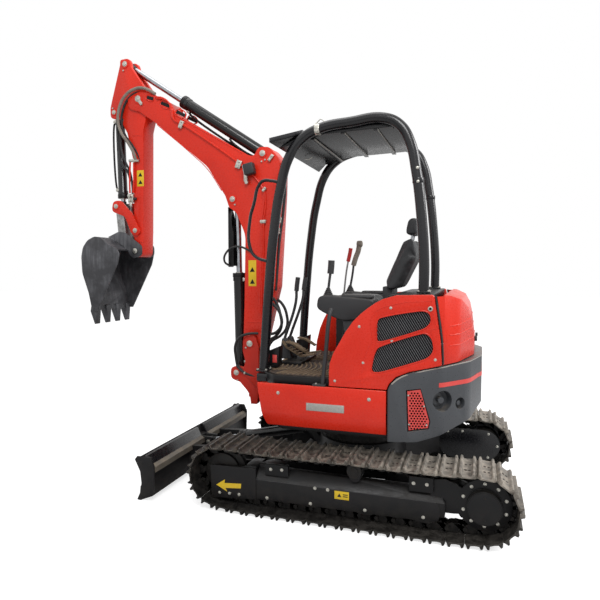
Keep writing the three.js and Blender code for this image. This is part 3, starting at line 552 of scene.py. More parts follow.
def round_bar(centre, radius, length, axis="y", sides=24, bevel=0.0, tip_radius=None):
    """A turned piece: a cylinder along x, y or z about its middle, or a cone when tip_radius is given."""
    deselect()
    if tip_radius is None:
        bpy.ops.mesh.primitive_cylinder_add(
            vertices=sides, radius=mm(radius), depth=mm(length), location=at(*centre), rotation=TURN_TO[axis]
        )
    else:
        bpy.ops.mesh.primitive_cone_add(
            vertices=sides,
            radius1=mm(radius),
            radius2=mm(tip_radius),
            depth=mm(length),
            location=at(*centre),
            rotation=TURN_TO[axis],
        )
    piece = settle(bpy.context.active_object)
    return round_edges(piece, bevel) if bevel else piece


def plate(points, axis, start, end, bevel=0.0, segments=2):
    """A flame-cut plate: an outline drawn across an axis, filled, and extruded from start to end along it."""
    deselect()
    bpy.ops.mesh.primitive_circle_add(vertices=len(points), radius=0.1, fill_type="NGON")
    piece = bpy.context.active_object
    for vertex, (a, b) in zip(piece.data.vertices, points):
        vertex.co = {"y": at(a, start, b), "x": at(start, a, b), "z": at(a, b, start)}[axis]
    settle_at_origin(piece)
    way = {"x": (1, 0, 0), "y": (0, 1, 0), "z": (0, 0, 1)}[axis]
    edit_all()
    bpy.ops.mesh.extrude_region_move(TRANSFORM_OT_translate={"value": Vector(way) * mm(end - start)})
    bpy.ops.mesh.select_all(action="SELECT")
    bpy.ops.mesh.normals_make_consistent(inside=False)
    bpy.ops.object.mode_set(mode="OBJECT")
    return round_edges(piece, bevel, segments=segments) if bevel else piece


def settle_at_origin(piece):
    piece.location = (0, 0, 0)
    pick(piece)
    return piece


def tube(points, radius, sides=3, smooth_path=True, cyclic=False):
    """A hose or rail: a Bezier path through drawing points, swept by a round section and made a mesh."""
    deselect()
    bpy.ops.curve.primitive_bezier_curve_add()
    piece = bpy.context.active_object
    piece.location = (0, 0, 0)
    curve = piece.data
    spline = curve.splines[0]
    spline.bezier_points.add(len(points) - 2)
    for knot, point in zip(spline.bezier_points, points):
        knot.handle_left_type = knot.handle_right_type = "AUTO" if smooth_path else "VECTOR"
        knot.co = at(*point)
    spline.use_cyclic_u = cyclic
    curve.dimensions = "3D"
    curve.resolution_u = 8
    curve.bevel_depth = mm(radius)
    curve.bevel_resolution = sides
    curve.use_fill_caps = True
    pick(piece)
    bpy.ops.object.convert(target="MESH")
    return outward(bpy.context.active_object)


def joined(*pieces):
    """Several pieces made one. Their parts stay separate shells in the same mesh."""
    pick(pieces[0])
    for piece in pieces[1:]:
        piece.select_set(True)
    if len(pieces) > 1:
        bpy.ops.object.join()
    return settle(bpy.context.active_object)


def copied(piece, move=(0, 0, 0), mirror=False):
    """A copy with its own mesh, moved in drawing millimetres, or mirrored to the other side of the machine."""
    pick(piece)
    bpy.ops.object.duplicate()
    twin = bpy.context.active_object
    if mirror:
        twin.scale = (1, -1, 1)
        settle(twin)
        edit_all()
        bpy.ops.mesh.normals_make_consistent(inside=False)
        bpy.ops.object.mode_set(mode="OBJECT")
    twin.location = [mm(v) for v in move]
    return settle(twin)


def both_sides(piece):
    return joined(piece, copied(piece, mirror=True))


def hex_bolts(places, width, axis="y", outward_sign=1, washer=True):
    """Bolt heads with washers. places are drawing points on the surface; one head is made, then copied."""
    head = round_bar((0, 0, 0), width / 2, width * 0.42, axis, sides=6, bevel=width * 0.04)
    if washer:
        ring = round_bar((0, 0, 0), width * 0.68, width * 0.14, axis, sides=16, bevel=width * 0.03)
        shift = {"x": (1, 0, 0), "y": (0, 1, 0), "z": (0, 0, 1)}[axis]
        head.location = [mm(v * outward_sign * width * 0.22) for v in shift]
        settle(head)
        head = joined(head, ring)
    lift = outward_sign * width * 0.02
    made = []
    for x, y, z in places:
        step = {"x": (x + lift, y, z), "y": (x, y + lift, z), "z": (x, y, z + lift)}[axis]
        made.append(copied(head, step))
    bpy.data.objects.remove(head)
    return joined(*made)


def rivet_disc(places, radius, thick, axis="y", sides=16):
    return joined(*[round_bar(p, radius, thick, axis, sides=sides, bevel=thick * 0.3) for p in places])


print("shape tools ready")

# %% Rounded copies of the frame's plates
def softened(node, finish, width=3.0, flat=0.4, sharper_than=28, segments=2, cutters=()):
    """A copy of a frame node, its triangles merged and its arrises rounded, that stands in for it."""
    source = frame["nodes"][node]
    piece = bpy.data.objects.new(f"{node}_finished", source.data.copy())
    bpy.context.scene.collection.objects.link(piece)
    piece.data.materials.clear()
    pick(piece)
    edit_all()
    bpy.ops.mesh.remove_doubles(threshold=2e-5)
    bpy.ops.mesh.dissolve_limited(angle_limit=math.radians(flat))
    bpy.ops.object.mode_set(mode="OBJECT")
    milled(piece, cutters)
    if width:
        round_edges(piece, width, sharper_than, segments)
    finish_piece(piece, f"{node}_finished", finish, source["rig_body"])
    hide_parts(node)
    return piece


def dress(node, finish):
    """Gives a frame node its finish, where its shape is right as it is."""
    data = frame["nodes"][node].data
    data.materials.clear()
    data.materials.append(FINISH[finish])


print("nodes to finish:", len(frame["nodes"]))

# %% [markdown]
# ### More hands for repeated and fitted pieces
# Shoes, links and bolts are modelled once and set down many times. A pocket is milled by a Boolean with a
# cutter that is thrown away afterwards. A ribbon is a strip laid on a curved face, for stripes and labels.

# %% Setting down copies, milling pockets, and ribbons
def centred(piece):
    """Moves a piece drawn about the drawing's zero point to its own origin, ready to be set down elsewhere."""
    piece.location = -at(0, 0, 0)
    return settle(piece)


def set_down(piece, spot, turn=(0, 0, 0)):
    """A copy of a centred piece, turned and put at a drawing point."""
    pick(piece)
    bpy.ops.object.duplicate()
    twin = bpy.context.active_object
    twin.rotation_mode = "XYZ"
    twin.rotation_euler = turn
    twin.location = at(*spot)
    return settle(twin)


def placed(piece, spot, turn=(0, 0, 0)):
    """Sets down one copy of a piece drawn about the zero point, and throws the pattern away."""
    centred(piece)
    made = set_down(piece, spot, turn)
    bpy.data.objects.remove(piece)
    return made


def milled(piece, cutters, operation="DIFFERENCE"):
    """Cuts, or with INTERSECT keeps, what a cutter covers, then throws the cutters away."""
    for cutter in cutters:
        pick(piece)
        boolean = piece.modifiers.new("mill", "BOOLEAN")
        boolean.object = cutter
        boolean.operation = operation
        boolean.solver = "EXACT"
        bpy.ops.object.modifier_apply(modifier="mill")
        bpy.data.objects.remove(cutter)
    return piece


def ribbon(lower, upper, thick):
    """A thin strip between two rows of drawing points, with a thickness, for stripes on curved faces."""
    deselect()
    bpy.ops.mesh.primitive_grid_add(x_subdivisions=len(lower) - 1, y_subdivisions=1, size=1)
    piece = bpy.context.active_object
    count = len(lower)
    for vertex in piece.data.vertices:
        row, column = divmod(vertex.index, count)
        vertex.co = at(*(upper if row else lower)[column])
    settle_at_origin(piece)
    skin = piece.modifiers.new("skin", "SOLIDIFY")
    skin.thickness = mm(thick)
    skin.offset = 0.0
    bpy.ops.object.modifier_apply(modifier="skin")
    return outward(piece)


def bar_between(start, end, radius, sides=24):
    """Ground bar from one drawing point to another."""
    a, b = at(*start), at(*end)
    deselect()
    bpy.ops.mesh.primitive_cylinder_add(
        vertices=sides, radius=mm(radius), depth=(b - a).length, location=(a + b) / 2
    )
    piece = bpy.context.active_object
    piece.rotation_mode = "QUATERNION"
    piece.rotation_quaternion = (b - a).to_track_quat("Z", "Y")
    return settle(piece)


def along(start, end, distance):
    """The point at a distance from start towards end, in side view."""
    dx, dz = end[0] - start[0], end[1] - start[1]
    length = math.hypot(dx, dz)
    return (start[0] + dx * distance / length, start[1] + dz * distance / length)


print("fitting tools ready")

# %% [markdown]
# ### Outlines
# Pressed and cast pieces are drawn as outlines with a few corners, and each corner is rounded by a short
# curve. One function rounds them all alike, and one gives each corner a radius of its own, up to what fits.

# %% Outlines with round corners
def curve_points(start, corner, end, steps=24):
    """Points on a bend from start to end that heads for the corner at both ends. start isn't repeated."""
    return [
        tuple((1 - t) ** 2 * p + 2 * t * (1 - t) * q + t * t * r for p, q, r in zip(start, corner, end))
        for t in [i / steps for i in range(1, steps + 1)]
    ]


def filleted(points, radius, steps=5):
    """Rounds every corner of an outline by a short curve."""
    out = []
    for i, (a, b) in enumerate(points):
        (pa, pb), (na, nb) = points[i - 1], points[(i + 1) % len(points)]
        back, ahead = math.hypot(pa - a, pb - b), math.hypot(na - a, nb - b)
        r1, r2 = min(radius, back * 0.45) / back, min(radius, ahead * 0.45) / ahead
        start, end = (a + (pa - a) * r1, b + (pb - b) * r1), (a + (na - a) * r2, b + (nb - b) * r2)
        out += [start] + curve_points(start, (a, b), end, steps)
    return out


def outline_points(corners, steps=6):
    """Rounds each corner (a, b, radius) of an outline. A corner given without a radius stays sharp."""
    out = []
    for i, corner in enumerate(corners):
        a, b, radius = (*corner, 0)[:3]
        (pa, pb), (na, nb) = corners[i - 1][:2], corners[(i + 1) % len(corners)][:2]
        if not radius:
            out.append((a, b))
            continue
        back, ahead = (pa - a, pb - b), (na - a, nb - b)
        lb, la = math.hypot(*back), math.hypot(*ahead)
        half = math.acos((back[0] * ahead[0] + back[1] * ahead[1]) / lb / la) / 2
        reach = min(radius / math.tan(half), lb * 0.49, la * 0.49)
        start = (a + back[0] / lb * reach, b + back[1] / lb * reach)
        end = (a + ahead[0] / la * reach, b + ahead[1] / la * reach)
        out += [start] + curve_points(start, (a, b), end, steps)
    return out


def mirrored_run(corners):
    return corners + [(x, -y, *r) for x, y, *r in corners[::-1]]


def grown(outline, by):
    """The outline with every point pushed away from the middle by the same length."""
    middle = [sum(p[i] for p in outline) / len(outline) for i in (0, 1)]
    out = []
    for a, b in outline:
        reach = math.hypot(a - middle[0], b - middle[1])
        out.append((a + (a - middle[0]) * by / reach, b + (b - middle[1]) * by / reach))
    return out


print("a square with round corners has", len(filleted([(0, 0), (1, 0), (1, 1), (0, 1)], 0.2)), "points")

# %% [markdown]
# ## Plates, castings and covers from the frame
# The frame's solids have true outlines but knife edges. A real plate has its arris taken off, and a casting
# or a pressed cover is rounder still, so each visible one gets a copy with its edges beveled.

# %% Soften the big pieces
ROUNDED = {
    "boom": ("red_enamel", 5.0),
    "arm": ("red_enamel", 5.0),
    "swing_post": ("red_casting_enamel", 5.0),
    "bucket_rocker": ("red_enamel", 3.0),
    "bucket_link": ("bare_steel", 4.0),
    "bucket": ("scuffed_primer", 3.0),
    "blade": ("black_enamel", 4.0),
    "left_skirt": ("red_enamel", 5.0),
    "right_skirt": ("red_enamel", 5.0),
    "rear_hood": ("red_enamel", 8.0),
    "canopy_roof": ("canopy_black_enamel", 3.0),
    "left_track_frame": ("black_enamel", 5.0),
    "right_track_frame": ("black_enamel", 5.0),
    "car_body": ("black_enamel", 3.0),
    "upper_frame": ("black_enamel", 3.0),
    "seat_bulkhead": ("black_enamel", 5.0),
    "seat_pedestal": ("black_enamel", 8.0),
    "boom_ram_barrel": ("ram_gloss_enamel", 2.0),
    "arm_ram_barrel": ("ram_gloss_enamel", 2.0),
    "bucket_ram_barrel": ("ram_gloss_enamel", 2.0),
    "blade_ram_barrel": ("ram_gloss_enamel", 2.0),
}
soft = {node: softened(node, *how) for node, how in ROUNDED.items()}
pick(soft["rear_hood"])
bpy.ops.object.shade_smooth_by_angle(angle=math.radians(62))
DRESSED = {
    "earth_and_painted_light_track_steel": ("left_track", "right_track"),
    "oily_link_steel": ("slew_ring",),
    "black_enamel": (
        "left_sprocket", "right_sprocket", "left_idler", "right_idler", "engine", "travel_levers",
        "counterweight",
    ),
    "red_enamel": ("left_side_cover", "right_side_cover"),
    "moulded_plastic": ("left_console", "right_console"),
    "canopy_black_enamel": ("left_canopy_hoop", "right_canopy_hoop"),
    "hard_chrome": ("blade_ram_rod", "boom_ram_rod", "arm_ram_rod", "bucket_ram_rod"),
    "walked_rubber_mat": ("floor",),
    "seat_vinyl": ("seat_cushion", "seat_back"),
}
for finish, nodes in DRESSED.items():
    for node in nodes:
        dress(node, finish)
print(len(soft), "pieces softened")

# %% [markdown]
# ## Steel tracks
# A steel track is rolled shoes bolted to two rows of forged links. Each shoe has two upright grousers that
# bite the ground, four bolt heads between them, and its corners flame-cut off. One shoe and one pair of
# links are modelled lying flat, then set down 43 times around the wheels, so every pitch is the same as on
# the real chain.

# %% The loop that the track pins follow
TRACK_Y, WHEEL_Z, SPROCKET_X, IDLER_X, CARRIER_X = 620, 226, -860, 806, -100
TRACK_R, SHOES, LOW_Z = 186, 43, 29


def wheel_points(x, first, last, steps=60):
    turns = [math.radians(first + (last - first) * i / steps) for i in range(steps + 1)]
    return [(x + TRACK_R * math.cos(t), WHEEL_Z + TRACK_R * math.sin(t)) for t in turns]


high = WHEEL_Z + TRACK_R
loop = [(SPROCKET_X, WHEEL_Z - TRACK_R), (SPROCKET_X + 170, LOW_Z), (IDLER_X - 170, LOW_Z)]
loop += wheel_points(IDLER_X, -90, 90)
loop += curve_points((IDLER_X, high), ((IDLER_X + CARRIER_X) / 2, high - 22), (CARRIER_X, high - 6))
loop += curve_points((CARRIER_X, high - 6), ((SPROCKET_X + CARRIER_X) / 2, high - 22), (SPROCKET_X, high))
loop += wheel_points(SPROCKET_X, 90, 270)
runs = [math.dist(a, b) for a, b in zip(loop, loop[1:])]


def on_loop(distance):
    for (ax, az), (bx, bz), run in zip(loop, loop[1:], runs):
        if distance <= run:
            return (ax + (bx - ax) * distance / run, az + (bz - az) * distance / run)
        distance -= run
    return loop[-1]


pins = [on_loop(sum(runs) * i / SHOES) for i in range(SHOES)]
pitch = math.dist(pins[1], pins[2])
print("track pitch in mm:", round(pitch, 1))

# %% One shoe, with bolts, and one pair of links
shoe_section = [
    (1, -1), (1, -8), (8, -29), (19, -29), (27, -11), (50, -9), (74, -11), (82, -29), (93, -29), (100, -10),
    (105, -7), (105, -1),
]
shoe = plate(shoe_section, "y", -160, 160)
for side in (-1, 1):
    for end in (0, 1):
        corner = cuboid((-14, -16, -60), (14, 16, 20))
        centred(corner)
        corner.rotation_euler = (0, 0, math.radians(45))
        corner.location = at(2 if end == 0 else 104, side * 166, 0)
        milled(shoe, [settle(corner)])
round_edges(shoe, 1.2, 40, 1)
shoe_bolts = hex_bolts([(x, y, -9) for x in (40, 64) for y in (-46, 46)], 16, "z", -1, washer=False)
link_section = [
    (-13, 22), (-9, 9), (6, 2), (94, 2), (111, 14), (114, 28), (106, 42), (92, 52), (80, 56), (16, 56), (4, 47),
    (-8, 40), (-14, 31),
]
links = []
for side in (-1, 1):
    y = side * 34
    ahead = [p for p in link_section if p[0] < 70] + [(60, 56)]
    behind = [(40, 56), (40, 2)] + [p for p in link_section if p[0] > 70]
    links.append(plate(ahead, "y", y + side * 2 - 6, y + side * 2 + 6))
    links.append(plate(behind, "y", y - side * 5 - 5, y - side * 5 + 5))
    links.append(round_bar((0, side * 42, 28), 13, 14, "y", 12))
links.append(round_bar((0, 0, 28), 15, 60, "y", 12))
link_pair = joined(*links)
for part in (shoe, shoe_bolts, link_pair):
    centred(part)
print("faces in one shoe:", len(shoe.data.polygons), "and in its links:", len(link_pair.data.polygons))

# %% Set them down around the loop, on both sides
def around(part, name, finish):
    made = []
    for here, there in zip(pins, pins[1:] + pins[:1]):
        lean = math.atan2(there[1] - here[1], there[0] - here[0])
        made.append(set_down(part, (here[0], TRACK_Y, here[1]), (0, -lean, 0)))
    bpy.data.objects.remove(part)
    left = joined(*made)
    right = copied(left, mirror=True)
    finish_piece(left, f"left_{name}", finish, "undercarriage")
    finish_piece(right, f"right_{name}", finish, "undercarriage")
    return left, right


left_shoes, right_shoes = around(shoe, "track_shoes", "earth_and_painted_light_track_steel")
around(shoe_bolts, "shoe_bolts", "worn_bolt_steel")
around(link_pair, "track_links", "oily_link_steel")
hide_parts("left_track")
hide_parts("right_track")
print("shoes set down:", 2 * SHOES)

# %% [markdown]
# ## Wheels, rollers and track frame
# The drive sprocket hides behind a round cover, inside a ring of ten zinc bolts. The idler is a cast wheel.
# The frame is a welded beam whose lower edge dips at each roller, where a bolt holds the roller's shaft.

# %% Sprocket cover and bolts
for side in ("left", "right"):
    softened(f"{side}_sprocket", "black_enamel", 3.0)
    softened(f"{side}_idler", "oily_link_steel", 3.0)
cover = round_bar((SPROCKET_X, 733, WHEEL_Z), 92, 8, "y", 48, bevel=3)
rim = round_bar((SPROCKET_X, 684, WHEEL_Z), 101, 16, "y", 48, bevel=4)
finish_piece(both_sides(joined(cover, rim)), "sprocket_covers", "black_enamel", "undercarriage")
plugs = rivet_disc([(SPROCKET_X, 738, WHEEL_Z + 62), (SPROCKET_X, 738, WHEEL_Z - 62)], 7, 4)
finish_piece(both_sides(plugs), "oil_plugs", "oily_link_steel", "undercarriage")
ring = [math.radians(18 + 36 * i) for i in range(10)]
ring_bolts = hex_bolts(
    [(SPROCKET_X + 124 * math.cos(t), 676, WHEEL_Z + 124 * math.sin(t)) for t in ring], 15, "y"
)
finish_piece(both_sides(ring_bolts), "sprocket_bolts", "zinc_plate", "undercarriage")
print("sprocket covers done")

# %% Roller ears, brackets, carrier roller and their bolts
ROLLER_XS = (-518, -169, 178, 472)
ears = [
    plate([(x - 60, 104), (x - 38, 84), (x + 38, 84), (x + 60, 104)], "y", 692, 703, 1.5) for x in ROLLER_XS
]
finish_piece(both_sides(joined(*ears)), "roller_ears", "black_enamel", "undercarriage")
brackets = [
    plate(
        [
            (-556, 150), (-556, 340), (-640, 352), (-700, 330), (-752, 300), (-746, 226), (-762, 160),
            (-690, 152),
        ],
        "y", 664, 675, 2,
    ),
    cuboid((332, 664, 250), (490, 690, 322), 3),
    cuboid((-573, 664, 262), (-432, 690, 352), 3),
    cuboid((-125, 640, 280), (-75, 680, 352), 3),
]
finish_piece(both_sides(joined(*brackets)), "frame_brackets", "black_enamel", "undercarriage")
skirt_line = [(-616, 150), (-604, 108), (-560, 96), (560, 88), (560, 215), (-600, 215)]
skirting = plate(skirt_line, "y", 699, 704, 1.5)
finish_piece(both_sides(skirting), "frame_side_plates", "black_enamel", "undercarriage")


def stadium(ahead, back, middle_z, radius, y0, y1, bevel=3, steps=16):
    """A plate with a half-round at each end of its length, as a chain case has."""
    turns = [math.radians(-90 + 180 * i / steps) for i in range(steps + 1)]
    front = [(ahead - radius + radius * math.cos(t), middle_z + radius * math.sin(t)) for t in turns]
    rear = [(back + radius - radius * math.cos(t), middle_z - radius * math.sin(t)) for t in turns]
    return plate(front + rear, "y", y0, y1, bevel)


case_back = SPROCKET_X - 117
case = stadium(-520, case_back, WHEEL_Z + 4, 117, 447, 462)
case_bolts = [
    (case_back + 117 + 96 * math.cos(t), 447, WHEEL_Z + 4 + 96 * math.sin(t)) for t in (1.9, 3.14, 4.4)
]
case_bolts += [(-700, 447, WHEEL_Z + 102), (-700, 447, WHEEL_Z - 94), (-590, 447, WHEEL_Z + 92)]
finish_piece(both_sides(case), "inner_drive_cases", "canopy_black_enamel", "undercarriage")
finish_piece(both_sides(hex_bolts(case_bolts, 15, "y", -1)), "inner_case_bolts", "zinc_plate", "undercarriage")
carrier = joined(
    round_bar((CARRIER_X, 694, 344), 47, 22, "y", 32, bevel=4),
    round_bar((CARRIER_X, 707, 344), 26, 6, "y", 24, bevel=2),
    round_bar((CARRIER_X, 640, 344), 40, 90, "y", 24, bevel=3),
)
finish_piece(both_sides(carrier), "carrier_rollers", "oily_link_steel", "undercarriage")
frame_bolts = [(x, 704, z) for x, z in zip(ROLLER_XS, (118, 112, 106, 104))]
frame_bolts += [
    (149, 704, 209), (66, 704, 209), (451, 690, 290), (375, 690, 294), (-458, 690, 311), (-536, 690, 312),
    (808, 708, 99), (736, 708, 102), (667, 708, 103),
]
finish_piece(both_sides(hex_bolts(frame_bolts, 16, "y")), "frame_bolts", "zinc_plate", "undercarriage")
# A weld bead along the beam's upper bend, painted lighter than the beam as the highlight along that bend.
weld_highlight = tube([(556, 702, 216), (-60, 702, 215), (-598, 702, 215)], 2.5, 1, smooth_path=False)
finish_piece(both_sides(weld_highlight), "beam_weld_highlight", "dust_and_highlight_edge", "undercarriage")
print("frame bolts per side:", len(frame_bolts))

# %% [markdown]
# ### Signs on the frame
# A yellow arrow of vinyl shows which end of the track frame is the front. A small yellow tag sits by the beam's
# middle. Both are left without words.

# %% Arrow and tag
arrow = plate(
    [(832, 150), (768, 192), (772, 168), (652, 177), (654, 146), (765, 135), (752, 112)], "y", 708, 709.6
)
finish_piece(both_sides(arrow), "direction_arrow", "yellow_vinyl", "undercarriage")
tag = cuboid((-70, 704, 160), (22, 705.6, 211), 0.5)
finish_piece(both_sides(tag), "track_tag", "yellow_vinyl", "undercarriage")
marks = joined(
    plate([(4, 175), (-22, 175), (-9, 197)], "y", 705.6, 706.2),
    cuboid((-62, 705.6, 177), (-32, 706.2, 183)),
    cuboid((-62, 705.6, 189), (-32, 706.2, 195)),
)
finish_piece(both_sides(marks), "track_tag_marks", "painted_shade_and_print_black", "undercarriage")
print("track frame signs done")

# %% [markdown]
# ## Side covers, vents and skirt
# The covers are pressed sheet with two slanted air openings. Each opening is milled into the sheet, its lip is
# rolled outwards, and a grey wire mesh fills it from behind. The mesh is straight bars laid across at a slant,
# then kept only inside the opening's outline.

# %% The two openings, and the covers milled to them
UPPER_VENT = filleted([(-216, 1282), (-212, 1126), (-505, 1222), (-544, 1262), (-536, 1318), (-492, 1336)], 34)
LOWER_VENT = filleted(
    [(-212, 1100), (-176, 946), (-226, 940), (-524, 1044), (-562, 1092), (-548, 1172), (-506, 1204)], 36
)
VENTS = (UPPER_VENT, LOWER_VENT)


for side, sign in (("left", 1), ("right", -1)):
    cutters = [plate(vent, "y", *sorted((sign * 574, sign * 640))) for vent in VENTS]
    softened(f"{side}_side_cover", "red_enamel", 5.0, cutters=cutters)
print("openings milled:", 2 * len(VENTS))

# %% Mesh, dark lining as painted shade, and rolled lips
# A near-black sheet behind each opening is painted shade of the space inside.
lining_shade = joined(*[plate(grown(vent, -1), "y", 574.5, 577) for vent in VENTS])
finish_piece(both_sides(lining_shade), "vent_painted_shade", "painted_shade_and_print_black", "upper")


def slanted_bars(spacing, width, lean, y0, y1):
    """Bars across the whole height of both openings, each leaning by the same slope."""
    shift = lean * 420
    bars = []
    for i in range(int(900 / spacing)):
        foot = -800 + i * spacing
        bar = [(foot, 930), (foot + width, 930), (foot + width + shift, 1350), (foot + shift, 1350)]
        bars.append(plate(bar, "y", y0, y1))
    return joined(*bars)


mesh_parts = []
for vent in VENTS:
    keep = plate(vent, "y", 585, 594)
    mesh_parts.append(milled(slanted_bars(15, 2.3, 0.62, 588, 591), [keep], "INTERSECT"))
finish_piece(both_sides(joined(*mesh_parts)), "vent_mesh", "vent_wire_enamel", "upper", smooth=0)
lips = joined(*[tube([(a, 600, b) for a, b in vent[::2]], 4.5, 2, cyclic=True) for vent in VENTS])
finish_piece(both_sides(lips), "vent_lips", "red_enamel", "upper")

# %% [markdown]
# ### Creases, bolts, lock, and the blank plate
# Pressed creases stiffen a sheet. They show as thin ridges that catch the light. The cover is held by six zinc
# bolts and a lock near its top corner, and the skirt below carries a blank aluminium plate and one bolt.

# %% Creases and fittings of the covers and skirt
creases = joined(
    tube([(-121, 600, 845), (-129, 600, 970), (-156, 600, 1075), (-186, 600, 1134)], 2.4, 1),
    tube([(-520, 600, 1217), (-585, 600, 1230)], 2.4, 1, smooth_path=False),
    tube([(-541, 600, 1405), (-548, 600, 1330), (-562, 600, 1268), (-584, 600, 1230)], 2.4, 1),
    tube([(-186, 600, 1134), (-192, 600, 1300), (-330, 600, 1368), (-540, 600, 1392)], 2.4, 1),
)
finish_piece(both_sides(creases), "cover_creases", "red_enamel", "upper")
cover_bolts = hex_bolts(
    [
        (-105, 600, 1225), (50, 600, 875), (-131, 600, 1000), (-567, 600, 1041), (-300, 600, 1345),
        (-308, 600, 1143),
    ], 13
)
skirt_bolts = hex_bolts([(-171, 608, 774), (430, 608, 774)], 17)
finish_piece(both_sides(joined(cover_bolts, skirt_bolts)), "cover_bolts", "zinc_plate", "upper")
locks = round_bar((-535, 602, 1345), 15, 8, "y", 24, bevel=1.5)
finish_piece(both_sides(locks), "cover_locks", "zinc_plate", "upper")
# The dark disc and slot in each lock are painted shade of its keyway.
keyway_shades = joined(round_bar((-535, 606, 1345), 8, 3, "y", 16), cuboid((-537, 606, 1338), (-533, 608.5, 1352)))
finish_piece(both_sides(keyway_shades), "lock_keyway_shades", "painted_shade_and_print_black", "upper")
rating_plate = cuboid((-13, 608, 674), (237, 610.5, 723), 0.8)
finish_piece(rating_plate, "blank_plate", "brushed_aluminium_foil", "upper")
rivets = rivet_disc([(x, 611, z) for x in (-4, 228) for z in (682, 715)], 3, 1.6, sides=10)
finish_piece(rivets, "plate_rivets", "zinc_plate", "upper")
print("cover fittings done")

# %% [markdown]
# ## Counterweight
# A casting, so every edge is round. A deep round recess holds the towing pin's boss, a smaller one a plug.
# A red perforated plate covers the air outlet at its front corner, in a pocket of its own, and a red vinyl
# stripe follows the casting's curve at the back.

# %% The casting's outline in plan
CASTING = outline_points(
    mirrored_run(
        [(-284, 440), (-284, 612, 14), (-430, 616, 60), (-600, 575, 120), (-760, 420, 160), (-832, 190, 160)]
    )
)


def plan_run(outline, start_y, end_y, off=0.0, step=40):
    """Points along the back of a plan from start_y round to end_y, stepped evenly, and stood off outwards."""
    run = [p for p in outline if p[0] < -430]
    dense = []
    for (ax, ay), (bx, by) in zip(run, run[1:]):
        pieces = max(1, round(math.dist((ax, ay), (bx, by)) / step))
        length = math.dist((ax, ay), (bx, by)) or 1
        nx, ny = -(by - ay) / length, (bx - ax) / length
        if nx > 0:
            nx, ny = -nx, -ny
        for k in range(pieces):
            t = k / pieces
            spot = (ax + (bx - ax) * t + nx * off, ay + (by - ay) * t + ny * off)
            if not dense or math.dist(dense[-1], spot) > 0.3 * step:
                dense.append(spot)
    return [p for p in dense if end_y <= p[1] <= start_y]


print("plan points of the casting:", len(CASTING))

# %% Casting with its recesses, and the boss inside
def slanted_round(x, y, z, radius, depth, lean, sides=40, lift=20):
    """A round pocket or boss whose axis looks outwards at an angle in plan."""
    nx, ny = math.cos(lean), math.sin(lean)
    outer = (x + nx * lift, y + ny * lift, z)
    inner = (x - nx * depth, y - ny * depth, z)
    return bar_between(outer, inner, radius, sides)


HOLE = (-615, 560, 785, math.radians(125))
PLUG = (-709, 469, 760, math.radians(135))
grille_pocket = [(-398, 850), (-484, 862), (-542, 664), (-534, 614), (-408, 594)]
cutters = []
for sign in (1, -1):
    for (x, y, z, lean), radius, depth in ((HOLE, 64, 66), (PLUG, 36, 38)):
        cutters.append(slanted_round(x, sign * y, z, radius, depth, sign * lean))
    cutters.append(plate(grille_pocket, "y", *sorted((sign * 578, sign * 660))))
softened("counterweight", "charcoal_enamel", 7.0, cutters=cutters, segments=3)
bosses = joined(
    slanted_round(HOLE[0], HOLE[1], HOLE[2], 20, 64, HOLE[3], 24, lift=-26),
    slanted_round(HOLE[0], HOLE[1], HOLE[2], 44, 68, HOLE[3], 32, lift=-56),
    slanted_round(PLUG[0], PLUG[1], PLUG[2], 15, 38, PLUG[3], 20, lift=-14),
)
finish_piece(both_sides(round_edges(bosses, 2)), "recess_bosses", "charcoal_enamel", "upper")
print("recesses:", len(cutters))

# %% Perforated outlet plate
outlet = plate([(0, 843), (-78, 855), (-131, 664), (-125, 622), (-10, 603)], "y", -4, 4, 1)
holes = []
for row in range(17):
    for column in range(9):
        x, z = -8 - column * 18 - (9 if row % 2 else 0), 614 + row * 15.5
        margin = max(-118 + (z - 612) * 0.02, -122 + max(0, z - 664) * 0.27)
        if margin < x < -12 and z < 838 and (z > 626 or -112 < x < -14):
            holes.append(round_bar((x, 0, z), 6.6, 20, "y", 6))
milled(outlet, [joined(*holes)])
outlet = placed(outlet, (-405, 606, 0), (0, 0, math.radians(10.2)))
finish_piece(both_sides(outlet), "outlet_plate", "red_vinyl", "upper")
shade = plate([(-400, 848), (-482, 860), (-540, 664), (-532, 616), (-410, 596)], "y", 578.5, 580)
finish_piece(both_sides(shade), "outlet_shade", "painted_shade_and_print_black", "upper")
outlet_bolts = hex_bolts(
    [(-412, 610, 818), (-505, 593, 754), (-418, 609, 640), (-520, 590, 640)], 12, washer=False
)
finish_piece(both_sides(outlet_bolts), "outlet_bolts", "zinc_plate", "upper")
print("holes in the outlet plate:", len(holes))

# %% Light lip along the casting's top edge: scraped paint, and painted highlight on the rounded edge
TOP_EDGE = ((-300, 868), (-338, 911), (-414, 946), (-504, 970), (-593, 989), (-700, 1005), (-832, 1022))


def casting_top(x):
    for (ax, az), (bx, bz) in zip(TOP_EDGE, TOP_EDGE[1:]):
        if x >= bx:
            return az + (bz - az) * (min(x, ax) - ax) / (bx - ax)
    return TOP_EDGE[-1][1]


lip_run = [(-310, 611), (-360, 612), (-410, 611)] + plan_run(CASTING, 606, -606, off=-3.5, step=40)
lip_run += [(-410, -611), (-360, -612), (-310, -611)]
# The pale lip is scraped paint and also painted highlight along the casting's top edge.
lip = tube([(x, y, casting_top(x)) for x, y in lip_run], 5, 1)
finish_piece(lip, "counterweight_lip_highlight", "scraped_and_highlight_lip_enamel", "upper")
print("lip points:", len(lip_run))

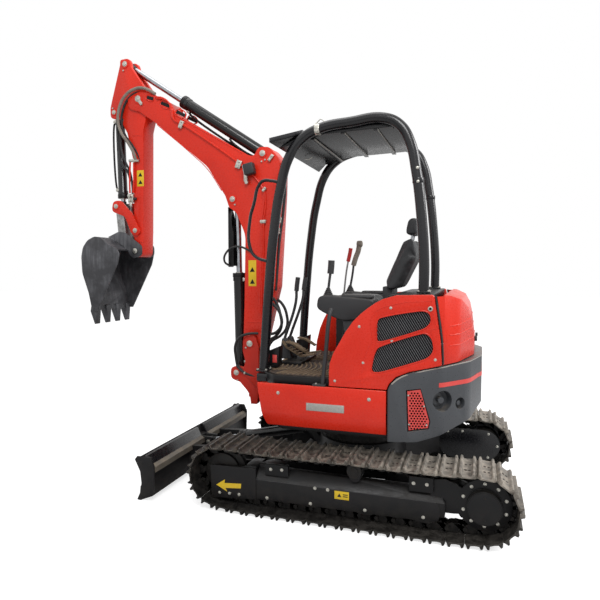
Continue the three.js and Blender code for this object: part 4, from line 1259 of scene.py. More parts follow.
# %% Red stripe around the back
run = plan_run(CASTING, 577, -577, off=1.0, step=24)
rise = [871 + 19 * min(1.0, (577 - abs(p[1])) / 320) for p in run]
stripe = ribbon(
    [(x, y, z) for (x, y), z in zip(run, rise)], [(x, y, z + 27) for (x, y), z in zip(run, rise)], 1.4
)
finish_piece(stripe, "counterweight_stripe", "red_vinyl", "upper")
print("stripe spans", len(run), "points")

# %% [markdown]
# ## Rear hood
# The hood is a deep pressing with three ridges that run around it, a latch, and a dark rubber strip in
# the seam along each side, painted there as the seam's shade.

# %% Hood ridges and latch
HOOD = outline_points(
    [(-610, 556), (-700, 470, 120), (-782, 200, 160), (-782, -200, 160), (-700, -470, 120), (-610, -556)]
)
ridges = []
for start, back in ((1236, 1270), (1181, 1206), (1118, 1139)):
    path = [p for p in plan_run([(-431, 556)] + HOOD, 546, -546, off=-1.0, step=50) if p[0] < -612]
    heights = [start + (back - start) * min(1.0, (546 - abs(y)) / 300) for x, y in path]
    places = [(max(x, -783 + 0.128 * (z - 1100)), y, z) for (x, y), z in zip(path, heights)]
    ridges.append(tube(places, 3.6, 2))
finish_piece(joined(*ridges), "hood_ridges", "red_enamel", "rear_hood")
latch = joined(
    cuboid((-799, -34, 1092), (-778, 34, 1122), 4), round_bar((-794, 0, 1136), 12, 16, "x", 20, bevel=2)
)
finish_piece(latch, "hood_latch", "moulded_plastic", "rear_hood")
edge = [(-609, 1150), (-599, 1240), (-588, 1310), (-573, 1418)]
flank = ribbon([(x, 556 + (x + 610) * 0.95, z) for x, z in edge], [(-614, 556, z) for x, z in edge], 3)
finish_piece(both_sides(flank), "hood_front_flanks", "red_enamel", "rear_hood")
# A dark strip in the gap between hood and cover, as painted shade of the seam.
seam_shade = tube(
    [(-612, 576, 1012), (-604, 580, 1148), (-592, 584, 1240), (-580, 586, 1320), (-566, 586, 1420)], 6, 1
)
finish_piece(both_sides(seam_shade), "hood_seam_shade", "hose_rubber", "upper")
print("hood done")

# %% [markdown]
# ## Rams
# A ram is a honed tube with a ground, hard-chromed bar sliding in it. The bar ends in a forged eye. A nut
# with a wiper seal closes the tube, and a steel line runs along it from the base end to a port by the nut.
# The boom ram carries a sheet guard in front of its rod, because stones fall there.

# %% Rods, eyes, gland nuts and lines
BOOM_RAM = ((961, 786), (989, 2113))
ARM_RAM = ((742, 2441), (1941, 3232))
BUCKET_RAM = ((2052, 2858), (2030, 2094))
BLADE_RAM = ((420, 384), (1235, 200))


def ram_rod(name, ends, tube_radius, rod_radius, tube_length, hidden, eye_half):
    """A ram's bright bar with its forged eye, and the nut and wiper ring that close the tube around it."""
    length = math.dist(*ends)

    def on_axis(distance):
        x, z = along(*ends, distance)
        return (x, 0, z)

    rod = bar_between(on_axis(hidden), on_axis(length - tube_radius * 0.6), rod_radius, 32)
    finish_piece(rod, f"{name}_rod_bar", "hard_chrome", f"{name}_rod")
    eye_x, eye_z = ends[1]
    head = round_bar((eye_x, 0, eye_z), tube_radius * 0.77, 2 * eye_half, "y", 32, bevel=2)
    neck = bar_between(
        on_axis(length - tube_radius * 1.35), on_axis(length - tube_radius * 0.4), rod_radius + 4, 24
    )
    forged = finish_piece(joined(head, round_edges(neck, 2)), f"{name}_rod_eye", "black_enamel", f"{name}_rod")
    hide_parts(f"{name}_rod")
    inside, lip, seal_end = on_axis(tube_length - 26), on_axis(tube_length + 6), on_axis(tube_length + 12)
    nut = bar_between(inside, lip, tube_radius + 7, 24)
    milled(nut, [bar_between(inside, seal_end, rod_radius + 2, 24)])
    finish_piece(round_edges(nut, 1.5), f"{name}_gland", "black_enamel", f"{name}_barrel")
    seal = bar_between(lip, seal_end, rod_radius + 6, 24)
    milled(seal, [bar_between(inside, on_axis(tube_length + 30), rod_radius + 1, 24)])
    finish_piece(seal, f"{name}_wiper", "zinc_plate", f"{name}_barrel")


def beside(ends, distance, off, y=0):
    """A point along a ram, stood off it square in side view."""
    (ax, az), (bx, bz) = ends
    length = math.dist(*ends)
    x, z = along(*ends, distance)
    return (x + (bz - az) / length * off, y, z - (bx - ax) / length * off)


ram_rod("boom_ram", BOOM_RAM, 46, 23, 760, 500, 32)
ram_rod("arm_ram", ARM_RAM, 44, 23, 845, 600, 28)
ram_rod("bucket_ram", BUCKET_RAM, 37, 20, 682, 120, 26)
ram_rod("blade_ram", BLADE_RAM, 38, 19, 560, 200, 24)
guard_flank = [(1049, 1606), (1006, 1606), (1006, 1850), (1036, 2000), (1049, 2040)]
guard = joined(
    cuboid((1047, -44, 1598), (1051, 44, 2060), 1),
    both_sides(plate(guard_flank, "y", 41.5, 44.5, 0.8)),
    cuboid((1005, -14, 2036), (1049, 14, 2052), 1),
)
finish_piece(guard, "boom_ram_guard", "black_enamel", "boom_ram_rod")
ram_lines = (
    ("arm_ram", ARM_RAM, 0, 9, ((70, 46), (90, 62), (720, 62), (770, 46))),
    ("arm_ram", ARM_RAM, 22, 9, ((60, 46), (80, 58), (300, 58), (330, 46))),
    ("boom_ram", BOOM_RAM, 18, 9, ((70, -40), (100, -58), (690, -58), (715, -44))),
    ("bucket_ram", BUCKET_RAM, 16, 8, ((60, -34), (90, -50), (590, -50), (620, -36))),
)
for name in ("arm_ram", "boom_ram", "bucket_ram"):
    made = []
    for ram, ends, y, radius, stops in ram_lines:
        if ram == name:
            made.append(tube([beside(ends, distance, off, y) for distance, off in stops], radius, 2))
    finish_piece(joined(*made), f"{name}_lines", "black_enamel", f"{name}_barrel")
ports = {
    "arm_ram": [beside(ARM_RAM, 70, 44), beside(ARM_RAM, 770, 44)],
    "boom_ram": [beside(BOOM_RAM, 70, -40, 18), beside(BOOM_RAM, 715, -44, 18)],
    "bucket_ram": [beside(BUCKET_RAM, 60, -34, 16), beside(BUCKET_RAM, 620, -36, 16)],
}
for name, places in ports.items():
    nuts = joined(*[round_bar(p, 16, 26, "y", 6, bevel=1.5) for p in places])
    finish_piece(nuts, f"{name}_ports", "zinc_plate", f"{name}_barrel")
print("four rams finished")

# %% [markdown]
# ## Pins
# Every pivot is a hardened pin through two bosses. Its end shows as a bright disc. At the elbow a flag plate
# and one bolt keep the pin from turning, and grease nipples sit beside some of the bosses. At a rod's eye the
# pin belongs to the frame it is pushed through.

# %% Bosses, pins and flags
def pivot(name, x, z, half, body, pin, boss, boss_finish, flag=None):
    """Both ends of a pin, each with its boss ring and end disc. flag is the way its locking bolt lies."""
    parts = []
    rings = []
    for side in (-1, 1):
        parts.append(round_bar((x, side * (half + 3), z), pin * 0.8, 14, "y", 28, bevel=2))
        rings.append(round_bar((x, side * (half + 1.5), z), boss, 5, "y", 36, bevel=1.5))
        parts.append(round_bar((x, side * (half + 5), z), pin * 1.2, 4, "y", 28, bevel=1))
        if flag:
            fx, fz = flag
            reach = math.hypot(fx, fz)
            ux, uz = fx / reach, fz / reach
            vx, vz = -uz * 13, ux * 13
            ax, az = x + fx, z + fz
            corners = [
                (x + vx, z + vz), (ax + vx, az + vz), (ax + ux * 13, az + uz * 13), (ax - vx, az - vz),
                (x - vx, z - vz),
            ]
            parts.append(plate(corners, "y", *sorted((side * (half + 3), side * (half + 8))), 1))
            parts.append(hex_bolts([(ax, side * (half + 8), az)], 15, "y", side))
    finish_piece(joined(*parts), f"{name}_pin", "zinc_plate", body)
    finish_piece(joined(*rings), f"{name}_bosses", boss_finish, body)


pivot("boom_foot", 842, 1017, 118.5, "swing_post", 20, 36, "red_casting_enamel")
pivot("boom_ram_base", 961, 786, 102.5, "swing_post", 18, 34, "red_casting_enamel")
pivot("boom_ram_head", 989, 2113, 92, "boom", 18, 32, "red_enamel")
pivot("arm_ram_base", 742, 2441, 92, "boom", 19, 34, "red_enamel")
pivot("elbow", 1812, 2940, 92, "boom", 21, 40, "red_enamel", (-34, -46))
pivot("arm_ram_head", 1941, 3232, 75, "arm", 18, 34, "red_enamel")
pivot("bucket_ram_base", 2052, 2858, 75, "arm", 15, 27, "red_enamel")
pivot("rocker_top", 2030, 2094, 100, "bucket_rocker", 16, 30, "red_enamel")
pivot("rocker_foot", 1852, 1894, 100, "arm", 16, 28, "red_enamel")
nipples = {
    "swing_post": [(872, 118.5, 985), (951, 102.5, 727)],
    "boom": [(967, 92, 2069), (719, 92, 2391), (748, 92, 2380)],
    "arm": [(1954, 75, 3180), (2061, 75, 2890), (1893, 75, 1930)],
}
for body, places in nipples.items():
    bits = joined(*[round_bar((x, y + 4, z), 6.5, 12, "y", 12, tip_radius=6.5, bevel=1) for x, y, z in places])
    finish_piece(bits, f"{body}_nipples", "zinc_plate", body)
print("pins set in:", sorted(nipples))

# %% [markdown]
# ## Lines and hoses of the boom
# Oil runs up the boom in steel lines, painted with it and held by zinc clamps. At the elbow the lines end, and
# sleeved hoses take over in a loop that is long enough for the whole swing of the arm. Near the tip the
# boom's side plates have openings with rolled rims, through which more hoses pass.

# %% Steel lines with clamps
def pair_of_lines(points, radius, gap):
    """Two lines side by side. The path is in side view, and each line is stood off by half the gap."""
    made = []
    for sign in (-1, 1):
        shifted = [(x + sign * gap * 0.35, y, z + sign * gap * 0.35) for x, y, z in points]
        made.append(tube(shifted, radius, 2))
    return made


near = 103
top_run = [
    (1640, near, 2930), (1574, near, 2916), (1516, near, 2868), (1500, near, 2800), (1484, near, 2748),
    (1420, near, 2712), (1180, near, 2555), (937, near, 2384), (850, near, 2315), (775, near, 2238),
    (728, near, 2165),
]
down_run = [
    (728, near, 2165), (722, near, 2080), (738, near, 1935), (742, near, 1700), (752, near, 1480),
    (760, near, 1240),
]
lines = pair_of_lines(top_run, 6, 17) + pair_of_lines(down_run, 6, 17)
finish_piece(joined(*lines), "boom_lines", "red_enamel", "boom")


def clamp(x, y, z, lean, long=52, wide=30):
    """A two-bolt pipe clamp lying on a side face, turned in side view."""
    block = cuboid((-wide / 2, 0, -long / 2), (wide / 2, 22, long / 2), 4)
    bolts = hex_bolts([(0, 22, -long * 0.3), (0, 22, long * 0.3)], 13, "y")
    return placed(joined(block, bolts), (x, y, z), (0, math.radians(lean), 0))


clamps = [
    clamp(1417, 92, 2702, -24, 60, 34),
    clamp(931, 92, 2368, -22, 62, 44),
    clamp(734, 92, 1935, 90, 46, 26),
    clamp(671, 92, 2401, -38, 56, 24),
    clamp(724, 92, 2172, -40, 36, 22),
]
finish_piece(joined(*clamps), "boom_clamps", "zinc_plate", "boom")
spine = [clamp(614, 40, 1944, 0, 44, 24), clamp(624, 40, 1865, 0, 44, 24)]
finish_piece(joined(*spine), "boom_spine_clamps", "zinc_plate", "boom")
back_hose = tube(
    [
        (600, 52, 2260), (582, 52, 2200), (586, 52, 2090), (600, 52, 1960), (618, 52, 1840), (640, 52, 1600),
        (655, 52, 1420),
    ],
    11, 2,
)
finish_piece(back_hose, "boom_back_hose", "hose_rubber", "boom")
print(
    "boom lines run", round(sum(math.dist(a, b) for a, b in zip(top_run, top_run[1:]))), "mm to the post bend"
)

# %% Openings near the boom's tip
# Each opening is shown as a dark sheet inside its rim: painted shade of the hole.
window_shades = []
rims = []
for x, z, lean, long in ((1700, 2935, -20, 62), (1563, 2872, -25, 84), (1426, 2790, -27, 84)):
    for sign in (1, -1):
        hole = cuboid((-long / 2, -2, -13), (long / 2, 2, 13), 0)
        round_edges(hole, 6, 60)
        half = long / 2
        round_the_hole = [
            (-half, 0, -16), (half, 0, -16), (half + 6, 0, 0), (half, 0, 16), (-half, 0, 16), (-half - 6, 0, 0)
        ]
        rim = tube(round_the_hole, 4.5, 1, cyclic=True)
        for piece, kept in ((hole, window_shades), (rim, rims)):
            kept.append(placed(piece, (x, sign * 92, z), (0, math.radians(lean), 0)))
finish_piece(joined(*window_shades), "boom_window_shades", "painted_shade_and_print_black", "boom")
finish_piece(joined(*rims), "boom_window_rims", "red_enamel", "boom")
print("boom openings:", len(window_shades))

# %% Elbow hoses
elbow_path = [
    (1650, 2962), (1701, 2993), (1760, 3014), (1839, 3008), (1913, 2969), (1969, 2890), (1992, 2790),
    (1967, 2685), (1901, 2590), (1856, 2507), (1845, 2461),
]
elbow_ys = [96, 104, 112, 116, 116, 114, 110, 106, 100, 94, 90]
near_hose = tube([(x, y, z) for (x, z), y in zip(elbow_path, elbow_ys)], 12, 3)
second = tube(
    [(x + 10 - 4 * i, y - 34 + i, z - 22 + i) for i, ((x, z), y) in enumerate(zip(elbow_path, elbow_ys))], 9, 3
)
for hose, name, finish in (
    (near_hose, "elbow_hose_sleeved", "woven_sleeve"), (second, "elbow_hose_plain", "hose_rubber")
):
    finish_piece(hose, name, finish)
    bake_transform(hose)
tee = joined(
    bar_between((1905, 90, 2457), (1812, 90, 2452), 11, 16),
    round_bar((1858, 84, 2455), 17, 30, "y", 6, bevel=1.5),
)
finish_piece(tee, "arm_tee", "zinc_plate", "arm")
arm_lines = joined(
    tube([(1866, 86, 2440), (1867, 86, 2360), (1868, 86, 2284), (1878, 84, 2200)], 7, 2),
    tube([(1900, 86, 2448), (1906, 84, 2360), (1912, 80, 2280), (1918, 70, 2200)], 7, 2),
)
finish_piece(arm_lines, "arm_lines", "red_enamel", "arm")
valve = joined(
    cuboid((1868, 76, 2120), (1918, 100, 2190), 5),
    round_bar((1893, 108, 2172), 15, 30, "y", 12, bevel=2),
    round_bar((1893, 106, 2136), 12, 22, "y", 6, bevel=2),
    round_bar((1893, 92, 2104), 10, 34, "z", 12, bevel=1),
)
finish_piece(valve, "arm_valve", "zinc_plate", "arm")
knob = round_bar((1856, 92, 2150), 11, 26, "x", 16, bevel=3)
finish_piece(knob, "arm_valve_knob", "moulded_plastic", "arm")
arm_hoses = joined(
    tube(
        [
            (1996, 60, 2810), (2018, 70, 2760), (2022, 74, 2640), (2012, 74, 2500), (1974, 74, 2420),
            (1945, 60, 2380), (1930, 40, 2300),
        ],
        10, 2,
    ),
    tube(
        [
            (1970, 70, 2800), (1992, 78, 2700), (1986, 80, 2560), (1948, 80, 2450), (1924, 60, 2380),
            (1908, 50, 2260), (1900, 60, 2190),
        ],
        9, 2,
    ),
    tube([(1904, 92, 2098), (1925, 90, 2040), (1975, 70, 2010), (2006, 40, 2060)], 5, 2),
)
finish_piece(arm_hoses, "arm_hoses", "hose_rubber", "arm")
print("elbow hoses done")

# %% Small hoses that cross the boom low down
arc = tube(
    [
        (1036, 52, 1606), (1064, 84, 1640), (1037, 104, 1710), (953, 108, 1752), (859, 104, 1726),
        (800, 86, 1680),
    ],
    8, 2,
)
finish_piece(arc, "boom_cross_hose", "hose_rubber", "boom")
print("cross hose done")

# %% Work lamp, labels and seams of the boom and arm
LAMP_SPOT, LAMP_LEAN = (831, 8, 2323), (0, math.radians(12), 0)
lamp = placed(cuboid((-40, 96, -42), (40, 156, 42), 9), LAMP_SPOT, LAMP_LEAN)
finish_piece(lamp, "work_lamp", "moulded_plastic", "boom")
lens = placed(cuboid((38, 102, -35), (43, 150, 35), 2), LAMP_SPOT, LAMP_LEAN)
finish_piece(lens, "work_lamp_lens", "polycarbonate_lens", "boom")
stay = joined(
    cuboid((858, 92, 2236), (888, 112, 2290), 3), round_bar((862, 112, 2228), 13, 26, "y", 16, bevel=2)
)
finish_piece(stay, "work_lamp_stay", "zinc_plate", "boom")
labels = {
    "boom": cuboid((797, 92, 1452), (860, 93.4, 1648), 0.5),
    "arm": cuboid((1781, 75, 2250), (1845, 76.4, 2378), 0.5),
}
for body, label in labels.items():
    finish_piece(label, f"{body}_label", "yellow_vinyl", body)
signs = {
    "boom": [plate([(808, z), (849, z), (828, z + 36)], "y", 93.4, 94) for z in (1470, 1560)],
    "arm": [plate([(1794, z), (1832, z), (1813, z + 33)], "y", 76.4, 77) for z in (2268, 2328)],
}
for body, marks in signs.items():
    finish_piece(joined(*marks), f"{body}_label_signs", "painted_shade_and_print_black", body)
seams = joined(
    tube([(1490, 92.5, 2790), (1160, 92.5, 2600), (905, 92.5, 2452)], 3, 1, smooth_path=False),
    tube([(1640, 92.5, 2722), (1330, 92.5, 2470), (1195, 92.5, 2345), (1080, 92.5, 2180)], 3, 1),
    tube([(715, 92.5, 1180), (880, 92.5, 1180)], 3, 1, smooth_path=False),
)
finish_piece(both_sides(seams), "boom_weld_seams", "red_enamel", "boom")
arm_seams = joined(
    tube([(1790, 75.5, 2652), (1890, 75.5, 2660)], 2.5, 1, smooth_path=False),
    tube([(1800, 75.5, 1800), (1885, 75.5, 1800)], 2.5, 1, smooth_path=False),
)
finish_piece(both_sides(arm_seams), "arm_weld_seams", "red_enamel", "arm")
stop = cuboid((1892, -30, 1936), (1912, 30, 1990), 3)
finish_piece(stop, "arm_stop", "red_enamel", "arm")
print("labels done")

# %% [markdown]
# ### Hoses at the foot
# Where the boom leaves the swing post, the hoses hang in a loose bight behind the pins, so that lifting
# the boom only opens and closes the bight. Each one runs from the post to the boom.

# %% Foot hoses
foot_paths = [
    [
        (690, 70, 1330), (642, 80, 1296), (602, 82, 1228), (600, 82, 1160), (642, 80, 1106), (718, 68, 1076),
        (748, 40, 1000),
    ],
    [
        (700, 44, 1380), (654, 50, 1330), (618, 54, 1240), (612, 54, 1140), (656, 50, 1074), (722, 40, 1030),
        (752, 20, 960),
    ],
    [
        (700, -50, 1360), (644, -62, 1310), (608, -66, 1220), (610, -66, 1130), (656, -60, 1066),
        (728, -48, 1016), (756, -24, 950),
    ],
]
for number, path in enumerate(foot_paths, 1):
    hose = finish_piece(tube(path, 11, 3), f"foot_hose_{number}", "hose_rubber")
    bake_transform(hose)
side_hose = tube(
    [(772, 118, 1098), (850, 140, 1092), (916, 142, 1062), (956, 132, 1000), (960, 116, 910), (950, 110, 838)],
    10, 2,
)
strap = tube([(950, 112, 842), (912, 114, 806), (862, 112, 782), (790, 106, 764)], 12, 2)
finish_piece(joined(side_hose, strap), "post_hoses", "hose_rubber", "swing_post")
post_clips = hex_bolts([(846, 128, 1092), (884, 120, 790)], 16)
finish_piece(post_clips, "post_clips", "zinc_plate", "swing_post")
print("foot hoses:", len(foot_paths))

# %% [markdown]
# ## Canopy
# Two bent tubes carry a sheet roof on four cross bars. A handrail of thin tube stands off the left front post,
# clamped feet hold the posts to the floor, and a wire guard with a small tag sits on top.

# %% Cross bars, rail, clamps
BARS = ((262, 2454), (56, 2477), (-160, 2483), (-284, 2486))
bars = joined(*[cuboid((x - 14, -394, z - 16), (x + 14, 394, z - 2), 3) for x, z in BARS])
finish_piece(bars, "roof_bars", "canopy_black_enamel", "upper")
# Pale strips along the bars' lower rear edges: painted highlight.
bar_edge_highlights = joined(*[cuboid((x - 17, -392, z - 17.5), (x - 13, 392, z - 8), 1) for x, z in BARS])
finish_piece(bar_edge_highlights, "roof_bar_edge_highlights", "scraped_and_highlight_lip_enamel", "upper")
strip = plate(
    [(-300, 2496), (200, 2496), (186, 2514), (-2, 2524), (-227, 2530), (-300, 2506)], "y", 393, 396.5, 1
)
finish_piece(both_sides(strip), "roof_side_strips", "canopy_black_enamel", "upper")
HOOP = [
    (600, 883), (568, 1369), (523, 1846), (479, 2113), (407, 2341), (316, 2446), (199, 2500), (-2, 2524),
    (-227, 2530), (-321, 2479), (-384, 2370), (-423, 2196), (-460, 1900), (-478, 1637), (-478, 1433),
]
for side, name in ((1, "left"), (-1, "right")):
    bent = finish_piece(
        tube([(x, side * 430, z) for x, z in HOOP], 33, 6), f"{name}_hoop_tube", "canopy_black_enamel", "upper"
    )
    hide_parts(f"{name}_canopy_hoop")
rail = tube(
    [
        (474, 432, 2160), (540, 440, 2176), (597, 446, 2176), (626, 448, 2148), (660, 450, 2030),
        (690, 450, 1925), (686, 450, 1712), (646, 446, 1662), (560, 436, 1632),
    ],
    11, 3,
)
finish_piece(rail, "grab_rail", "canopy_black_enamel", "upper")
feet = [cuboid((556, side * 430 - 48, 880), (640, side * 430 + 48, 892), 3) for side in (1, -1)]
feet += [cuboid((560, side * 430 - 44, 812), (638, side * 430 + 44, 866), 6) for side in (1, -1)]
feet += [cuboid((-520, side * 430 - 44, 1431), (-438, side * 430 + 44, 1443), 3) for side in (1, -1)]
finish_piece(joined(*feet), "post_feet", "canopy_black_enamel", "upper")
feet_bolts = hex_bolts([(x, y, 892) for x in (568, 630) for y in (392, 468, -392, -468)], 16, "z")
rear_bolts = hex_bolts([(x, y, 1443) for x in (-510, -448) for y in (394, 466, -394, -466)], 15, "z")
finish_piece(joined(feet_bolts, rear_bolts), "post_bolts", "zinc_plate", "upper")
band = round_bar((214, 430, 2494), 37, 34, "x", 32, bevel=2)
finish_piece(band, "post_band", "zinc_plate", "upper")
wire = tube([(238, 430, 2522), (197, 430, 2560), (157, 430, 2534)], 3.5, 1, smooth_path=False)
finish_piece(wire, "wire_guard", "zinc_plate", "upper")
tag = cuboid((199, 462, 2478), (229, 466, 2512), 1)
finish_piece(tag, "post_tag", "white_vinyl", "upper")
wire_end = tube([(384, 0, 2408), (410, 0, 2394), (439, 0, 2398)], 3.5, 1)
finish_piece(wire_end, "roof_wire_end", "zinc_plate", "upper")
rear_joint = joined(*[round_bar((-436, side * 430, 2130), 36, 30, "z", 32, bevel=3) for side in (1, -1)])
finish_piece(rear_joint, "rear_post_sleeves", "canopy_black_enamel", "upper")
sleeve_bolts = hex_bolts([(-434, 465, 2204), (-438, 466, 2120)], 14)
finish_piece(both_sides(sleeve_bolts), "sleeve_bolts", "zinc_plate", "upper")
print("canopy done")

# %% [markdown]
# ## Floor mat and pedals
# A moulded rubber mat covers the floor plate. Its ribs are arcs, so that a boot can't slide either way.
# Earth has been walked into it. Its ribs and the pedal treads are light tan: walked-in earth, and painted
# highlight on their raised tops. Two travel levers stand in rubber boots at the front, with a folding foot
# pedal each.

# %% Mat with arched ribs
softened("floor", "black_enamel", 4.0)
mat_plan = filleted([(-140, -548), (474, -548), (588, -424), (588, 424), (474, 548), (-140, 548)], 50)
mat = plate(mat_plan, "z", 880, 885, 1.5)
ribs = []
for i in range(19):
    x = -120 + 36 * i
    far = 530 if x < 440 else 410
    for side in (1, -1):
        arch = [(x + 70, side * 60), (x + 14, side * 200), (x, side * 320), (x + 48, side * far)]
        ribs.append(tube([(a, b, 885) for a, b in arch], 7, 1))
ribs = joined(*ribs)
keep = plate(grown(mat_plan, -8), "z", 870, 900)
milled(ribs, [keep], "INTERSECT")
finish_piece(mat, "floor_mat", "walked_rubber_mat", "upper")
# Rib colour: walked-in earth, and painted highlight on the raised tops.
finish_piece(ribs, "floor_mat_ribs", "earth_and_highlight_rubber_ribs", "upper")

# %% Travel levers, boots, pedals and the front box
BOOT = [(612, 908), (606, 1000), (596, 1064), (560, 1064), (536, 1000), (520, 908)]
FOOT = [(590, 1040), (557, 994), (438, 930), (335, 952), (340, 960), (440, 942), (545, 1000), (578, 1050)]
FLAP = [(540, 1040), (478, 1030), (400, 985), (392, 992), (474, 1042), (538, 1052)]
HEEL = [(594, 884), (570, 912), (455, 892), (470, 884)]
CHEEK = [(612, 1000), (506, 1046), (516, 900), (606, 884)]
boots = []
shafts = []
pedals = []
for side in (1, -1):
    y = side * 62
    boots.append(plate(BOOT, "y", y - 24, y + 24, 10))
    stem = [(584, y, 1050), (565, y, 1104), (505, y * 1.1, 1271), (482, y * 1.3, 1360), (478, y * 1.4, 1430)]
    shafts.append(tube(stem, 11, 2))
    shafts.append(tube([(478, y * 1.4, 1420), (472, y * 1.45, 1470), (464, y * 1.5, 1520)], 17, 2))
    middle = y + side * 10
    pedals.append(plate(FOOT, "y", middle - 34, middle + 34, 2))
    for step in range(4):
        t = (step + 0.5) / 4
        x, z = 545 - 105 * t, 998 - 56 * t
        pedals.append(cuboid((x - 7, middle - 36, z - 2), (x + 7, middle + 36, z + 9), 2))
    pedals.append(plate(FLAP, "y", y * 2.2 - 26, y * 2.2 + 26, 2))
    pedals.append(plate(HEEL, "y", y * 1.6 - 28, y * 1.6 + 28, 2))
finish_piece(joined(*boots), "lever_boots", "moulded_plastic", "upper")
finish_piece(joined(*shafts), "travel_lever_shafts", "moulded_plastic", "upper")
# Tread colour: walked-in earth, and painted highlight on the raised tops.
tread = finish_piece(joined(*pedals), "foot_pedals", "earth_and_highlight_rubber_ribs", "upper")
box_parts = joined(
    cuboid((410, -196, 881), (556, 196, 908), 6),
    plate(CHEEK, "y", 300, 378, 5),
    plate(CHEEK, "y", -378, -300, 5),
    cuboid((566, -398, 881), (586, 398, 905), 5),
)
finish_piece(box_parts, "pedal_box", "black_enamel", "upper")
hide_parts("travel_levers")
sticker = cuboid((524, 378, 930), (556, 379.5, 984), 0.5)
finish_piece(sticker, "pedal_box_label", "red_vinyl", "upper")
print("levers and pedals done")

# %% [markdown]
# ## Consoles and joysticks
# Each armrest console is a moulded box on a stalk. A rubber bellows closes the hole that the joystick comes out
# of. The left stick is black, the right one has a silver sleeve, and a red lever beside it works the blade.

# %% Consoles
ARMREST = filleted(
    [(-150, 1252), (60, 1236), (190, 1290), (236, 1320), (226, 1392), (180, 1408), (-150, 1384)], 26
)
for side, name in ((1, "left"), (-1, "right")):
    y = side * 330
    box = plate(ARMREST, "y", y - 62, y + 62, 12, 3)
    stalk = plate([(-140, 886), (10, 886), (60, 1260), (-140, 1260)], "y", y - 44, y + 44, 10)
    pad = cuboid((-140, y - 46, 1382), (70, y + 46, 1412), 12, 3)
    console = finish_piece(joined(box, stalk, pad), f"{name}_console_moulding", "moulded_plastic", "upper")
    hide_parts(f"{name}_console")
    bellows = joined(*[round_bar((168, y, 1404 + 11 * i), 34 - 5 * i, 12, "z", 28, bevel=4) for i in range(5)])
    finish_piece(bellows, f"{name}_stick_bellows", "hose_rubber", "upper")
left_stick = joined(
    tube([(168, 330, 1440), (158, 330, 1520), (152, 330, 1560)], 9, 2),
    tube([(153, 330, 1550), (148, 330, 1600), (146, 330, 1640)], 22, 3),
)
finish_piece(left_stick, "left_joystick", "moulded_plastic", "upper")
right_shaft = tube([(168, -330, 1440), (150, -328, 1540), (140, -326, 1620)], 9, 2)
finish_piece(right_shaft, "right_joystick_shaft", "moulded_plastic", "upper")
right_grip = joined(
    tube([(142, -326, 1610), (124, -324, 1670), (104, -322, 1722), (96, -320, 1762)], 20, 3),
    round_bar((92, -320, 1778), 26, 44, "x", 24, bevel=10),
)
finish_piece(right_grip, "right_joystick_grip", "woven_sleeve", "upper")
blade_shaft = tube([(196, -236, 1390), (176, -230, 1560), (160, -226, 1650)], 7, 2)
finish_piece(blade_shaft, "blade_lever_shaft", "bare_steel", "upper")
blade_grip = tube([(162, -226, 1640), (150, -224, 1690), (140, -222, 1742)], 15, 3)
finish_piece(blade_grip, "blade_lever_grip", "red_plastic", "upper")
lock_bar = tube([(84, 560, 1330), (90, 580, 1290), (112, 586, 1060), (134, 586, 848)], 13, 3)
lock_foot = cuboid((112, 566, 830), (200, 604, 846), 3)
finish_piece(joined(lock_bar, lock_foot), "side_lock_bar", "moulded_plastic", "upper")
finish_piece(hex_bolts([(176, 590, 846)], 14, "z"), "lock_bar_bolt", "zinc_plate", "upper")
hoses = []
for k in range(4):
    low_end = [(20 + 18 * k, 250 + 10 * k, 900), (40 + 14 * k, 262, 1010)]
    high_end = [(10 + 20 * k, 300, 1120), (60, 310 - 6 * k, 1240)]
    hoses.append(tube(low_end + high_end, 9, 2))
finish_piece(joined(*hoses), "console_hoses", "hose_rubber", "upper")
print("consoles done")

# %% [markdown]
# ## The seat
# A pan seat is vinyl stretched over foam, so its faces bulge between the seams. Each cushion starts as a
# plain shape, a little smaller than the finished one. It is blown up as cloth with pressure inside, how far
# a point may move is capped, and the result is kept as plain mesh.

# %% Cushions as inflated cloth
def cushion(shape, name, pressure=4.0, cap_mm=24, voxel_mm=9):
    pick(shape)
    remesh = shape.modifiers.new("remesh", "REMESH")
    remesh.mode = "VOXEL"
    remesh.voxel_size = mm(voxel_mm)
    bpy.ops.object.modifier_apply(modifier="remesh")
    start = [v.co.copy() for v in shape.data.vertices]
    cloth = shape.modifiers.new("cloth", "CLOTH")
    cloth.settings.use_pressure = True
    cloth.settings.uniform_pressure_force = pressure
    cloth.settings.effector_weights.gravity = 0.0
    cloth.settings.quality = 4
    cloth.settings.tension_stiffness = 12
    cloth.point_cache.frame_start, cloth.point_cache.frame_end = 1, 20
    scene = bpy.context.scene
    for number in range(1, 21):
        scene.frame_set(number)
    pick(shape)
    bpy.ops.object.modifier_apply(modifier="cloth")
    scene.frame_set(1)
    cap = mm(cap_mm)
    for vertex, old in zip(shape.data.vertices, start):
        step = vertex.co - old
        if step.length > cap:
            vertex.co = old + step * (cap / step.length)
    pick(shape)
    smooth = shape.modifiers.new("smooth", "SMOOTH")
    smooth.iterations = 3
    bpy.ops.object.modifier_apply(modifier="smooth")
    finer = shape.modifiers.new("finer", "SUBSURF")
    finer.levels = finer.render_levels = 1
    bpy.ops.object.modifier_apply(modifier="finer")
    finish_piece(shape, name, "seat_vinyl", "upper", smooth=60)
    return shape


